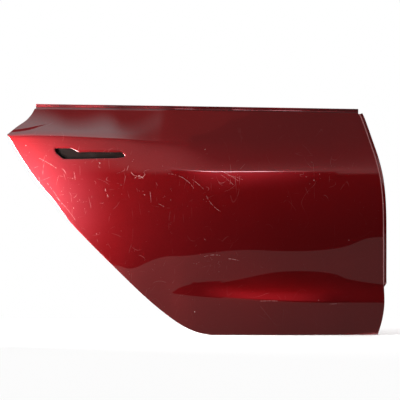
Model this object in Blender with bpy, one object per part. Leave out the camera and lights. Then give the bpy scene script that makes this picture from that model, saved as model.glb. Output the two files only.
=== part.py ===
# Right rear door shell of a car with frameless windows, without glass, lock or outside handle.
# A pressed skin is hemmed round a pressed inner panel, with the reinforcements welded between them.
# +X runs forward along the car, +Y runs into the car, +Z is up.
# Meshes are drawn with X from the rear tip, Y inboard from the widest line, Z from the lower edge.
# The empty door_shell then carries them so that the upper hinge face is the origin.

import math

import bmesh
import bpy
from mathutils import Vector
from mathutils.geometry import delaunay_2d_cdt

# Overall size, square on from outside.
DOOR_LENGTH = 1.136
DOOR_HEIGHT = 0.693

# Sheet metal and the gaps between welded pieces.
SKIN_SHEET = 0.0010
PANEL_SHEET = 0.0010
RAIL_SHEET = 0.0014
BEAM_SHEET = 0.0018
PLATE_SHEET = 0.0030
WELD_GAP = 0.0003
LAP_GAP = 0.0005
CUT_OVERRUN = 0.010

# Outline of the skin as shares of length and height, from the belt's rear corner to the tip.
UPPER_REAR_SHARES = (
    (0.0700, 0.9801), (0.0615, 0.9541), (0.0481, 0.9290), (0.0246, 0.9013), (0.0, 0.8667),
)
# From the tip down the wheel arch edge to the lower edge.
LOWER_REAR_SHARES = (
    (0.0, 0.8667), (0.0280, 0.7884), (0.0615, 0.7058), (0.0919, 0.6396), (0.1223, 0.5842),
    (0.1584, 0.5041), (0.2105, 0.4128), (0.2844, 0.2917), (0.3734, 0.1519), (0.4402, 0.0636),
    (0.4808, 0.0242), (0.5104, 0.0074), (0.5405, 0.0),
)
BOTTOM_SHARES = ((0.5405, 0.0), (0.9783, 0.0))
# Front edge of the outer surface, from the lower corner to the belt.
FRONT_SHARES = (
    (0.9783, 0.0), (0.9894, 0.0666), (0.9945, 0.1337), (0.9929, 0.2367), (0.9921, 0.4098),
    (0.9905, 0.5612), (0.9842, 0.6694), (0.9723, 0.7559), (0.9551, 0.8425), (0.9393, 0.9182),
    (0.9335, 0.9429),
)
BELT_FRONT_SHARES = ((0.9335, 0.9429), (0.9298, 0.9546))
FLANGE_TOP_SHARES = ((0.0850, 1.0), (0.9224, 0.9762))
REAR_STEP = 0.026
BOTTOM_STEP = 0.056
FRONT_STEP = 0.032

# Curvature of the skin: barrel up and down, a gentle bow along the car.
WIDE_LINE_SHARES = ((0.0, 0.49), (0.35, 0.53), (0.60, 0.57), (1.0, 0.62))
# Radii as shares of the door's height and length.
BARREL_BELOW_SHARE = 3.29
BARREL_ABOVE_SHARE = 4.329
BOW_SHARE = 5.7218
BOW_CENTRE_SHARE = 0.62

# Haunch crease from the tip: line, turn of slope and softness along the length.
HAUNCH_LINE_SHARES = (
    (0.0, 0.8667), (0.0819, 0.8685), (0.1727, 0.8659), (0.2670, 0.8572), (0.3512, 0.8520),
    (0.4523, 0.8464), (0.70, 0.836), (1.0, 0.8225),
)
HAUNCH_SLOPE_SHARES = (
    (0.0, 0.95), (0.15, 0.86), (0.30, 0.62), (0.45, 0.34), (0.60, 0.17), (0.80, 0.08), (1.0, 0.04),
)
HAUNCH_BEND = 0.060
HAUNCH_BEND_SHARES = ((0.0, 0.07), (0.30, 0.13), (0.45, 0.33), (0.60, 0.70), (1.0, 1.0))

# Character line through the middle of the door.
MID_LINE_SHARES = ((0.0, 0.700), (0.50, 0.7065), (1.0, 0.7065))
MID_SLOPE_SHARES = ((0.0, 0.0), (0.25, 0.01), (0.40, 0.06), (0.58, 0.15), (1.0, 0.15))
MID_BEND = 0.012

# Hollow above the sill: turn under, hollow and lower crease.
TURN_LINE_SHARES = ((0.0, 0.361), (1.0, 0.361))
HOLLOW_LINE_SHARES = (
    (0.435, 0.195), (0.482, 0.211), (0.614, 0.237), (0.70, 0.256), (0.80, 0.260), (0.87, 0.255),
    (0.9366, 0.241), (0.992, 0.232),
)
SILL_LINE_SHARES = (
    (0.30, 0.205), (0.435, 0.1848), (0.5088, 0.1675), (0.633, 0.1545), (0.773, 0.1415),
    (0.992, 0.135),
)
HOLLOW_FADE_SHARES = ((0.0, 0.0), (0.298, 0.0), (0.435, 0.46), (0.673, 1.0), (1.0, 1.0))
TURN_SLOPE_SHARE = 0.20
HOLLOW_SLOPE_SHARE = -0.45
SILL_SLOPE_SHARE = 0.33
TURN_BEND = 0.060
HOLLOW_BEND = 0.045
SILL_BEND = 0.006
SLOPE_PROBE = 0.0005

# Hem round the skin, the stepped strip along the front edge and the belt flange.
HEM_RADIUS = 0.0021
HEM_RETURN = 0.009
HEM_SEGMENTS = 3
BORDER_WIDTH = 0.012
STRIP_WIDTH = 0.0085
STRIP_DROP = 0.0065
STRIP_BEND = 0.0015
STRIP_LOW = 0.143
STRIP_TAPER = 0.012
BELT_LEDGE = 0.005
BELT_BEND = 0.002
BELT_COLUMNS = 21
STRIP_ROOT_SHARE = 0.6
BORDER_RING_SHARES = (0.5, 0.4, 0.3)
BELT_ROUND_SHARES = (0.7, 0.3)
CREASE_FROM_SHARES = (0.0, 0.25, 0.40)
NEAR_EDGE_SHARE = 0.8
NEAR_ROLL_SHARE = 0.5
CLEAR_SHARE = 0.97
SHARP_SHARE = 0.7
MITRE_SHARE = 0.3
SMOOTH_DEGREES = 28

# Inner panel: rings in from the outer edge, wall and inner face.
TONGUE_INSET = 0.0024
TONGUE_WIDTH = 0.010
RELIEF_SHARE = 0.35
STEP_INSET = 0.016
STEP_DROP = 0.009
LAND_INSET = 0.026
LAND_DROP = 0.013
WALL_INSET = 0.032
WALL_DRAFT = 0.006
WALL_BEND = 0.009
FACE_DEPTH_FRONT = 0.118
FACE_DEPTH_REAR = 0.168
FACE_TOP_DROP = 0.016
RAIL_LEDGE = 0.010
RAIL_LEDGE_BEND = 0.002
RAIL_RISE = 0.024
WALL_ROUND_SHARE = 0.3
LAND_SPREAD_SHARES = (0.5, 0.4)
STRIP_STEP_SHARE = 0.6
TRIM_SHARE = 0.8
LEDGE_RISE_SHARES = (0.4, 0.5)

# Flat walls for the hinges, the lock and the beam, as heights and distances from the edge.
HINGE_WALL_SETBACK = 0.052
HINGE_PLATE_HEIGHT = 0.104
HINGE_PLATE_WIDTH = 0.046
CHECK_PLATE_HEIGHT = 0.070
CHECK_PLATE_WIDTH = 0.044
PLATE_SPACING = 0.023
LOWER_HINGE_HEIGHT = 0.135
HINGE_SPACING = 0.320
UPPER_HINGE_HEIGHT = LOWER_HINGE_HEIGHT + HINGE_SPACING
CHECK_HEIGHT = UPPER_HINGE_HEIGHT - HINGE_PLATE_HEIGHT / 2 - PLATE_SPACING - CHECK_PLATE_HEIGHT / 2
WALL_TOP_MARGIN = 0.013
HINGE_WALL_LOW = LOWER_HINGE_HEIGHT - HINGE_PLATE_HEIGHT / 2 - PLATE_SPACING
HINGE_WALL_HIGH = UPPER_HINGE_HEIGHT + HINGE_PLATE_HEIGHT / 2 + WALL_TOP_MARGIN
HINGE_DEPTH = 0.079
LATCH_WALL_LOW = 0.385
LATCH_WALL_HIGH = 0.495
BEAM_WALL_LOW = 0.215
BEAM_WALL_HIGH = 0.300

# Handle opening as shares of its own width and height, and where it sits.
HANDLE_WIDTH = 0.211
HANDLE_HEIGHT = 0.0315
HANDLE_LEFT_SHARE = 0.1265
HANDLE_TOP_SHARE = 0.8055
HANDLE_SHARES = (
    (0.0, 0.12), (0.012, 0.0), (0.236, 0.0), (0.285, 0.16), (0.335, 0.36), (0.955, 0.37),
    (1.0, 0.66), (0.988, 0.84), (0.87, 0.925), (0.36, 1.0), (0.127, 1.0), (0.082, 0.79),
    (0.020, 0.42),
)
HANDLE_FLANGE = 0.005
HANDLE_DRAFT = 0.0006
HANDLE_BORDER = 0.009
HANDLE_PLATE_MARGIN = 0.026
HANDLE_TRAY_MARGIN = 0.012
HANDLE_TRAY_WALL = 0.0025
HANDLE_TRAY_DEPTH = 0.0075

# Openings in the inner face: corners as shares of length and height.
ACCESS_SHARES = ((0.335, 0.34), (0.60, 0.27), (0.705, 0.36), (0.715, 0.66), (0.50, 0.70), (0.30, 0.665))
ACCESS_CORNER = 0.040
LATCH_ACCESS_SHARES = ((0.155, 0.66), (0.235, 0.60), (0.252, 0.76), (0.155, 0.79))
LATCH_ACCESS_CORNER = 0.016
SPEAKER_RADIUS = 0.076
SPEAKER_PLACE_SHARES = (0.832, 0.275)
ROUND_HOLE_RADIUS = 0.011
ROUND_HOLE_SHARES = (
    (0.275, 0.45), (0.52, 0.165), (0.90, 0.52), (0.79, 0.72), (0.655, 0.175), (0.245, 0.52),
    (0.76, 0.50),
)
# Stiffening beads, each from one end to the other.
BEAD_SHARES = (((0.32, 0.775), (0.74, 0.775)), ((0.56, 0.105), (0.92, 0.105)))
BEAD_WIDTH = 0.013
BEAD_CORNER_SHARE = 0.45
EMBOSS_DROP = 0.004
EMBOSS_WIDTH = 0.006
EMBOSS_LAND = 0.010
SPEAKER_POINTS = 20
ROUND_POINTS = 8
CORNER_POINTS = 3

# Waist rails behind the belt flange and on the inner face.
OUTER_RAIL_DEPTH = 0.013
OUTER_RAIL_SIDE = 0.012
OUTER_RAIL_LIP = 0.012
OUTER_RAIL_HEIGHT = 0.064
OUTER_RAIL_GAP = 0.004
INNER_RAIL_HEIGHT = 0.058
INNER_RAIL_DEPTH = 0.014
INNER_RAIL_LIP = 0.013
INNER_RAIL_SIDE = 0.006
INNER_RAIL_SPAN_SHARES = (0.165, 0.895)

# Side impact beam, a pressed channel that follows the skin.
BEAM_FRONT_HEIGHT = 0.225
BEAM_REAR_HEIGHT = 0.285
BEAM_SPAN_SHARES = (0.335, 0.915)
BEAM_WIDTH = 0.092
BEAM_LIP = 0.015
BEAM_SIDE = 0.009
BEAM_DEPTH = 0.024
BEAM_CLEARANCE = 0.008
BEAM_COLUMNS = 10
BRACKET_LIP = 0.026
BRACKET_LAP_SHARE = 0.45
BRACKET_HALF_SHARE = 0.36
MASTIC_LENGTH = 0.026
MASTIC_HALF_SHARE = 0.35
MASTIC_SHARES = (0.12, 0.38, 0.62, 0.86)

# Upright brace between the waist rail and the beam.
BRACE_SHARE = 0.60
BRACE_WIDTH = 0.050
BRACE_LIP = 0.012
BRACE_SIDE = 0.005
BRACE_RIB = 0.008
BRACE_ROWS = 7
BRACE_LAP_SHARE = 0.8

# Plates and fasteners.
PLATE_CORNER = 0.008
HINGE_HOLE_SPACING = 0.056
HINGE_HOLE_RADIUS = 0.0055
CHECK_HOLE_SPACING = 0.048
CHECK_HOLE_RADIUS = 0.0035
CHECK_SLOT_HEIGHT = 0.020
CHECK_SLOT_WIDTH = 0.026
LATCH_PLATE_LENGTH = 0.096
LATCH_PLATE_WIDTH = 0.050
LATCH_SLOT_LENGTH = 0.044
LATCH_SLOT_WIDTH = 0.020
LATCH_HOLE_RADIUS = 0.0035
LATCH_HOLE_SHARES = ((-0.36, 0.18), (0.36, 0.18), (0.0, -0.34))
LATCH_DEPTH_SHARE = 0.56
HOLE_POINTS = 10
NUT_SIDES = 6
LARGE_NUT_WIDTH = 0.0165
LARGE_NUT_HEIGHT = 0.0080
SMALL_NUT_WIDTH = 0.0110
SMALL_NUT_HEIGHT = 0.0055

# Pull bracket on the inner face.
PULL_PLACE_SHARES = (0.81, 0.595)
PULL_LENGTH = 0.130
PULL_HEIGHT = 0.034
PULL_RISE = 0.030
PULL_LIP = 0.018
PULL_SIDE = 0.005
HINGE_WALL = DOOR_LENGTH - HINGE_WALL_SETBACK


def clear_scene():
    for item in list(bpy.data.objects):
        bpy.data.objects.remove(item, do_unlink=True)


def make_material(name, colour, roughness, metallic):
    material = bpy.data.materials.new(name)
    material.use_nodes = True
    shader = material.node_tree.nodes["Principled BSDF"]
    shader.inputs["Base Color"].default_value = (*colour, 1.0)
    shader.inputs["Roughness"].default_value = roughness
    shader.inputs["Metallic"].default_value = metallic
    return material


# Curves through tables of shares.


def hermite(points, index, part):
    """Smooth value between two table points, its end slopes taken from their neighbours."""
    def slope(i):
        low, high = max(i - 1, 0), min(i + 1, len(points) - 1)
        return (points[high][1] - points[low][1]) / (points[high][0] - points[low][0])

    start, end = points[index], points[index + 1]
    width = end[0] - start[0]
    square, cube = part * part, part * part * part
    return (
        start[1] * (2 * cube - 3 * square + 1)
        + slope(index) * width * (cube - 2 * square + part)
        + end[1] * (3 * square - 2 * cube)
        + slope(index + 1) * width * (cube - square)
    )


def trace(points, share):
    """Height share of a feature line at a share of the length."""
    if share <= points[0][0]:
        return points[0][1]
    for index in range(len(points) - 1):
        if share <= points[index + 1][0]:
            part = (share - points[index][0]) / (points[index + 1][0] - points[index][0])
            return hermite(points, index, part)
    return points[-1][1]


def fade(points, share):
    """Value that eases from one table entry to the next without overshoot."""
    if share <= points[0][0]:
        return points[0][1]
    for low, high in zip(points, points[1:]):
        if share <= high[0]:
            part = (share - low[0]) / (high[0] - low[0])
            return low[1] + (high[1] - low[1]) * part * part * (3 - 2 * part)
    return points[-1][1]


def smooth_run(shares, step):
    """Points in metres along a smooth curve through outline shares, evenly spaced."""
    corners = [Vector((x * DOOR_LENGTH, z * DOOR_HEIGHT)) for x, z in shares]
    along = [0.0]
    for before, after in zip(corners, corners[1:]):
        along.append(along[-1] + (after - before).length)
    across = list(zip(along, (corner.x for corner in corners)))
    upward = list(zip(along, (corner.y for corner in corners)))
    count = max(1, round(along[-1] / step))
    places = [along[-1] * index / count for index in range(count + 1)]
    return [Vector((trace(across, place), trace(upward, place))) for place in places]


# The outer surface as depth over length and height.


def ramp(distance, bend):
    """Zero on one side, the distance on the other, joined by a bend."""
    return (distance + math.sqrt(distance * distance + bend * bend)) / 2


def line_height(table, along):
    return trace(table, along / DOOR_LENGTH) * DOOR_HEIGHT


def belt_height(along):
    rear, front = UPPER_REAR_SHARES[0], BELT_FRONT_SHARES[-1]
    part = (along / DOOR_LENGTH - rear[0]) / (front[0] - rear[0])
    return (rear[1] + (front[1] - rear[1]) * part) * DOOR_HEIGHT


def flange_top_height(along):
    rear, front = FLANGE_TOP_SHARES
    part = (along / DOOR_LENGTH - rear[0]) / (front[0] - rear[0])
    return (rear[1] + (front[1] - rear[1]) * part) * DOOR_HEIGHT


def skin_depth(along, height):
    share = along / DOOR_LENGTH
    rise = height - line_height(WIDE_LINE_SHARES, along)
    radius = (BARREL_BELOW_SHARE if rise < 0 else BARREL_ABOVE_SHARE) * DOOR_HEIGHT
    depth = rise * rise / (2 * radius)
    depth += (along - BOW_CENTRE_SHARE * DOOR_LENGTH) ** 2 / (2 * BOW_SHARE * DOOR_LENGTH)
    above_haunch = height - line_height(HAUNCH_LINE_SHARES, along)
    haunch_bend = HAUNCH_BEND * fade(HAUNCH_BEND_SHARES, share)
    depth += fade(HAUNCH_SLOPE_SHARES, share) * ramp(above_haunch, haunch_bend)
    above_mid = height - line_height(MID_LINE_SHARES, along)
    depth += fade(MID_SLOPE_SHARES, share) * ramp(above_mid, MID_BEND)
    hollow = TURN_SLOPE_SHARE * ramp(line_height(TURN_LINE_SHARES, along) - height, TURN_BEND)
    hollow += HOLLOW_SLOPE_SHARE * ramp(line_height(HOLLOW_LINE_SHARES, along) - height, HOLLOW_BEND)
    hollow += SILL_SLOPE_SHARE * ramp(line_height(SILL_LINE_SHARES, along) - height, SILL_BEND)
    return depth + fade(HOLLOW_FADE_SHARES, share) * hollow


def inward_normal(along, height):
    across = skin_depth(along + SLOPE_PROBE, height) - skin_depth(along - SLOPE_PROBE, height)
    upward = skin_depth(along, height + SLOPE_PROBE) - skin_depth(along, height - SLOPE_PROBE)
    return Vector((-across / (2 * SLOPE_PROBE), 1.0, -upward / (2 * SLOPE_PROBE))).normalized()


def on_skin(along, height, offset=0.0):
    """Point at an offset inboard of the outer surface."""
    point = Vector((along, skin_depth(along, height), height))
    return point + inward_normal(along, height) * offset


def face_depth(along):
    """Inboard side of the inner panel's flat face."""
    return FACE_DEPTH_REAR + (FACE_DEPTH_FRONT - FACE_DEPTH_REAR) * along / DOOR_LENGTH


# Stations round the hemmed edge, shared by the skin, its hem and the inner panel.


class Station:
    """One place on the edge, with the way out of it and whether the front strip is there."""

    def __init__(self, place, side, corner=False):
        self.place = place
        self.side = side
        self.corner = corner
        self.sharp = False
        self.relief = False
        self.outward = Vector((0.0, 0.0))
        self.strip = 0.0

    def inset(self, distance):
        return self.place - self.outward * distance


def add_crossing(stations, side, gap_at, spacing):
    """Adds a station where a feature line meets one side, clearing plain stations beside it."""
    for index, (first, second) in enumerate(zip(stations, stations[1:])):
        if side not in (first.side, second.side):
            continue
        low, high = gap_at(first.place), gap_at(second.place)
        if low * high > 0 or low == high:
            continue
        place = first.place.lerp(second.place, low / (low - high))
        station = Station(place, side, True)
        near = [other for other in (first, second) if (other.place - place).length < spacing]
        if any(other.corner for other in near):
            return
        position = index if first in near else index + 1
        for other in near:
            stations.remove(other)
        stations.insert(position, station)
        return


def edge_stations():
    runs = (
        ("rear", UPPER_REAR_SHARES, REAR_STEP),
        ("rear", LOWER_REAR_SHARES, REAR_STEP),
        ("bottom", BOTTOM_SHARES, BOTTOM_STEP),
        ("front", FRONT_SHARES, FRONT_STEP),
        ("front", BELT_FRONT_SHARES, FRONT_STEP),
    )
    stations = []
    for side, shares, step in runs:
        points = smooth_run(shares, step)
        for index, point in enumerate(points):
            if stations and index == 0:
                stations[-1].corner = True
                continue
            stations.append(Station(point, side))
    stations[0].corner = True
    stations[-1].corner = True
    heights = (
        ("rear", (LATCH_WALL_LOW, LATCH_WALL_HIGH, BEAM_WALL_LOW, BEAM_WALL_HIGH)),
        ("front", (HINGE_WALL_LOW, HINGE_WALL_HIGH, STRIP_LOW, STRIP_LOW + STRIP_TAPER)),
    )
    for side, levels in heights:
        for level in levels:
            add_crossing(stations, side, lambda place, level=level: place.y - level, STRIP_TAPER)
    for table in (MID_LINE_SHARES, SILL_LINE_SHARES):
        def above(place, table=table):
            return place.y - line_height(table, place.x)

        add_crossing(stations, "front", above, STRIP_TAPER)
    set_outward(stations)
    return stations


def set_outward(stations):
    """Mitred direction out of the edge at each station. At the belt it runs along the belt line."""
    belt = (stations[-1].place - stations[0].place).normalized()
    for index, station in enumerate(stations):
        if index == 0:
            station.outward = -belt
        elif index == len(stations) - 1:
            station.outward = belt
        else:
            before = (station.place - stations[index - 1].place).normalized()
            after = (stations[index + 1].place - station.place).normalized()
            first = Vector((before.y, -before.x))
            second = Vector((after.y, -after.x))
            middle = (first + second).normalized()
            station.outward = -middle / middle.dot(first)
            station.sharp = before.dot(after) < SHARP_SHARE
            if station.outward.dot(station.place - belt_middle(stations)) < 0:
                station.outward = -station.outward
        inside_strip = station.place.y >= STRIP_LOW + STRIP_TAPER
        if station.side == "front" and inside_strip and index < len(stations) - 1:
            station.strip = STRIP_WIDTH
    for index, station in enumerate(stations):
        around = stations[max(index - 1, 0):index + 2]
        changes = any(other.strip != station.strip for other in around)
        station.relief = changes or (station.sharp and station.side == "rear")


def inset_ring(stations, distance):
    """Ring a distance in from the edge, with places that would cross a corner spread out."""
    edge = [station.place for station in stations]
    places = [station.inset(distance) for station in stations]
    sound = []
    for index, place in enumerate(places):
        ends = index in (0, len(places) - 1)
        clear = gap_to(place, edge) > distance * CLEAR_SHARE
        sound.append(ends or (stations[index].corner and stations[index].sharp) or clear)
    for index in range(len(places)):
        if sound[index]:
            continue
        low, high = index, index
        while not sound[low]:
            low -= 1
        while not sound[high]:
            high += 1
        places[index] = places[low].lerp(places[high], (index - low) / (high - low))
    return places


def belt_middle(stations):
    total = Vector((0.0, 0.0))
    for station in stations:
        total += station.place
    return total / len(stations)


# Sheets drawn as grids and filled regions.


class Sheet:
    """Points and faces of one sheet, thickened by a Solidify modifier."""

    def __init__(self):
        self.points = []
        self.faces = []

    def add(self, point):
        self.points.append(Vector(point))
        return len(self.points) - 1

    def ring(self, points):
        return [self.add(point) for point in points]

    def strip(self, first, second):
        for index in range(len(first) - 1):
            self.faces.append((first[index], first[index + 1], second[index + 1], second[index]))

    def closed_strip(self, first, second):
        self.strip(first + first[:1], second + second[:1])


def inside(point, loop):
    """Whether a flat point lies inside a closed loop."""
    odd = False
    for first, second in zip(loop, loop[1:] + loop[:1]):
        if (first[1] > point[1]) != (second[1] > point[1]):
            crossing = first[0] + (point[1] - first[1]) * (second[0] - first[0]) / (second[1] - first[1])
            if point[0] < crossing:
                odd = not odd
    return odd


def gap_to(point, loop):
    """Shortest distance from a flat point to a closed loop."""
    best = None
    for first, second in zip(loop, loop[1:] + loop[:1]):
        side = Vector(second) - Vector(first)
        part = (Vector(point) - Vector(first)).dot(side) / max(side.length_squared, SLOPE_PROBE ** 2)
        nearest = Vector(first) + side * min(max(part, 0.0), 1.0)
        distance = (Vector(point) - nearest).length
        best = distance if best is None else min(best, distance)
    return best


def fill_region(outer, holes, lines, spots):
    """Triangles inside the outer loop and outside the holes, with lines kept as edges."""
    points, edges = [], []
    for loop in [outer, *holes]:
        start = len(points)
        points.extend(Vector(point) for point in loop)
        edges.extend((start + i, start + (i + 1) % len(loop)) for i in range(len(loop)))
    for line in lines:
        start = len(points)
        points.extend(Vector(point) for point in line)
        edges.extend((start + i, start + i + 1) for i in range(len(line) - 1))
    points.extend(Vector(spot) for spot in spots)
    found, _, faces, origins, _, _ = delaunay_2d_cdt(points, edges, [], 0, SLOPE_PROBE / 10)
    kept = []
    for face in faces:
        first, second, third = (found[index] for index in face)
        if abs((second - first).cross(third - first)) < SLOPE_PROBE ** 2:
            continue
        centre = (first + second + third) / 3
        if inside(centre, outer) and not any(inside(centre, hole) for hole in holes):
            kept.append(tuple(face))
    return found, origins, kept


def inset_loop(loop, distance):
    """Closed flat loop moved inward by a distance, mitred. The loop runs anticlockwise."""
    moved = []
    for index, point in enumerate(loop):
        before = (Vector(point) - Vector(loop[index - 1])).normalized()
        after = (Vector(loop[(index + 1) % len(loop)]) - Vector(point)).normalized()
        first = Vector((-before.y, before.x))
        second = Vector((-after.y, after.x))
        middle = (first + second).normalized()
        moved.append(Vector(point) + middle * (distance / max(middle.dot(first), MITRE_SHARE)))
    return moved


def circle_loop(centre, radius, count):
    across, upward = centre
    turns = (2 * math.pi * index / count for index in range(count))
    points = ((across + radius * math.cos(turn), upward + radius * math.sin(turn)) for turn in turns)
    return [Vector(point) for point in points]


def rounded_loop(corners, radius, count):
    """Polygon with each corner turned into an arc of a few points."""
    loop = []
    for index, corner in enumerate(corners):
        before = (Vector(corners[index - 1]) - Vector(corner)).normalized()
        after = (Vector(corners[(index + 1) % len(corners)]) - Vector(corner)).normalized()
        half = math.acos(max(-1.0, min(1.0, before.dot(after)))) / 2
        reach = radius / math.tan(half)
        start = Vector(corner) + before * reach
        end = Vector(corner) + after * reach
        for step in range(count + 1):
            part = step / count
            first = start.lerp(Vector(corner), part)
            second = Vector(corner).lerp(end, part)
            loop.append(first.lerp(second, part))
    return loop


def box_loop(width, height, corner):
    w, h = width / 2, height / 2
    return rounded_loop([(-w, -h), (w, -h), (w, h), (-w, h)], corner, CORNER_POINTS)


# Objects.


def finish_mesh(name, points, faces, material, outward, parent, solid=False):
    mesh = bpy.data.meshes.new(name)
    work = bmesh.new()
    corners = [work.verts.new(point) for point in points]
    for face in faces:
        if len(set(face)) > 2:
            work.faces.new([corners[index] for index in face])
    loose = [corner for corner in work.verts if not corner.link_faces]
    bmesh.ops.delete(work, geom=loose, context="VERTS")
    bmesh.ops.recalc_face_normals(work, faces=work.faces[:])
    if not solid:
        work.normal_update()
        total = sum((face.normal * face.calc_area() for face in work.faces), Vector())
        if total.dot(outward) < 0:
            bmesh.ops.reverse_faces(work, faces=work.faces[:])
    work.to_mesh(mesh)
    work.free()
    mesh.materials.append(material)
    item = bpy.data.objects.new(name, mesh)
    item.parent = parent
    bpy.context.scene.collection.objects.link(item)
    return item


def thicken(item, thickness):
    """Gives a drawn surface its sheet thickness on the side away from its normals."""
    solidify = item.modifiers.new("sheet", "SOLIDIFY")
    solidify.thickness = thickness
    solidify.offset = -1.0
    solidify.use_even_offset = True
    solidify.use_quality_normals = True
    item.data.shade_smooth()
    item.data.set_sharp_from_angle(angle=math.radians(SMOOTH_DEGREES))


def sheet_object(name, sheet, material, outward, thickness, parent):
    item = finish_mesh(name, sheet.points, sheet.faces, material, Vector(outward), parent)
    thicken(item, thickness)
    return item


def plate_object(name, loop, holes, thickness, origin, across, upward, material, parent):
    """Flat plate with holes. Its drawn side lies at the origin and it thickens along its normal."""
    across, upward = Vector(across).normalized(), Vector(upward).normalized()
    normal = across.cross(upward)
    found, _, faces = fill_region(loop, holes, [], [])
    near = [Vector(origin) + across * point.x + upward * point.y for point in found]
    far = [point + normal * thickness for point in near]
    sides = {}
    for face in faces:
        for first, second in zip(face, face[1:] + face[:1]):
            sides[(first, second)] = True
    rim = [(first, second) for first, second in sides if (second, first) not in sides]
    count = len(near)
    walls = [(first, second, second + count, first + count) for first, second in rim]
    lids = [tuple(index + count for index in face) for face in faces]
    item = finish_mesh(name, near + far, faces + walls + lids, material, normal, parent, True)
    item.data.shade_smooth()
    item.data.set_sharp_from_angle(angle=math.radians(SMOOTH_DEGREES))
    return item


def nut_object(name, width, height, bore, origin, across, upward, material, parent):
    loop = circle_loop((0.0, 0.0), width / 2 / math.cos(math.pi / NUT_SIDES), NUT_SIDES)
    hole = circle_loop((0.0, 0.0), bore, HOLE_POINTS)
    return plate_object(name, loop, [hole], height, origin, across, upward, material, parent)


def cutter_object(name, loop, origin, across, upward, reach, parent):
    """Prism through a wall, centred on it, that cuts an opening and isn't part of the door."""
    across, upward = Vector(across).normalized(), Vector(upward).normalized()
    normal = across.cross(upward)
    start = Vector(origin) - normal * reach
    item = plate_object(name, loop, [], reach * 2, start, across, upward, None, parent)
    item.hide_render = True
    item.display_type = "WIRE"
    return item


def cut(item, cutter):
    boolean = item.modifiers.new(cutter.name, "BOOLEAN")
    boolean.operation = "DIFFERENCE"
    boolean.solver = "EXACT"
    boolean.object = cutter


# Outer skin.


def handle_loop(margin=0.0):
    left = HANDLE_LEFT_SHARE * DOOR_LENGTH
    top = HANDLE_TOP_SHARE * DOOR_HEIGHT
    loop = [Vector((left + x * HANDLE_WIDTH, top - z * HANDLE_HEIGHT)) for x, z in HANDLE_SHARES]
    loop.reverse()
    return inset_loop(loop, -margin) if margin else loop


def skin_rows(along):
    """Heights of the rows of surface points in one column, closer together at the creases."""
    belt = belt_height(along)
    haunch = line_height(HAUNCH_LINE_SHARES, along)
    mid = line_height(MID_LINE_SHARES, along)
    turn = line_height(TURN_LINE_SHARES, along)
    sill = line_height(SILL_LINE_SHARES, along)
    knots = (
        (belt, haunch + BORDER_WIDTH, 2), (haunch + BORDER_WIDTH, haunch, 1),
        (haunch, haunch - BORDER_WIDTH, 1), (haunch - BORDER_WIDTH, mid + MID_BEND, 3),
        (mid + MID_BEND, mid, 1), (mid, mid - MID_BEND, 1), (mid - MID_BEND, turn + TURN_BEND, 4),
        (turn + TURN_BEND, turn, 2), (turn, turn - TURN_BEND, 2),
        (turn - TURN_BEND, sill + SILL_BEND, 3), (sill + SILL_BEND, sill, 1),
        (sill, sill - SILL_BEND, 1), (sill - SILL_BEND, 0.0, 3),
    )
    rows = []
    for high, low, count in knots:
        rows.extend(high + (low - high) * step / count for step in range(count))
    return rows


def belt_columns(stations):
    """Places along the belt line between the hemmed ends."""
    rear = stations[0].inset(BORDER_WIDTH)
    front = stations[-1].inset(BORDER_WIDTH)
    return [rear.lerp(front, index / BELT_COLUMNS) for index in range(BELT_COLUMNS + 1)]


def edge_directions(station):
    """Way into the car and way out of the edge, square to each other, at a station."""
    normal = inward_normal(*station.place)
    out = Vector((station.outward.x, 0.0, station.outward.y))
    out -= normal * out.dot(normal)
    return normal, out.normalized() * station.outward.length


def skin_edge_rings(sheet, stations):
    """Border, front step, fold and hem return, from the inside out."""
    border, crest, brow, root, fold = [], [], [], [], []
    hem = [[] for _ in range(HEM_SEGMENTS + 1)]
    for station in stations:
        normal, out = edge_directions(station)
        border.append(on_skin(*station.inset(BORDER_WIDTH)))
        if station.strip:
            edge = on_skin(*station.place)
            drop = Vector((0.0, STRIP_DROP, 0.0))
            crest.append(on_skin(*station.inset(STRIP_BEND)))
            brow.append(edge + out * STRIP_BEND / 3 + Vector((0.0, STRIP_BEND, 0.0)))
            root.append(edge + out * STRIP_BEND * STRIP_ROOT_SHARE + drop)
            start = edge + out * (station.strip - HEM_RADIUS) + drop
        else:
            for ring, share in zip((crest, brow, root), BORDER_RING_SHARES):
                ring.append(on_skin(*station.inset(BORDER_WIDTH * share)))
            start = on_skin(*station.inset(HEM_RADIUS))
        fold.append(start)
        for step in range(1, HEM_SEGMENTS + 1):
            turn = math.pi * step / HEM_SEGMENTS
            offset = out * HEM_RADIUS * math.sin(turn) + normal * HEM_RADIUS * (1 - math.cos(turn))
            hem[step - 1].append(start + offset)
        width = HEM_RETURN * (RELIEF_SHARE if station.relief else 1.0)
        hem[-1].append(start - out * width + normal * HEM_RADIUS * 2)
    inner = sheet.ring(border)
    previous = inner
    for points in (crest, brow, root, fold, *hem):
        ring = sheet.ring(points)
        sheet.strip(previous, ring)
        previous = ring
    return inner


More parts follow.
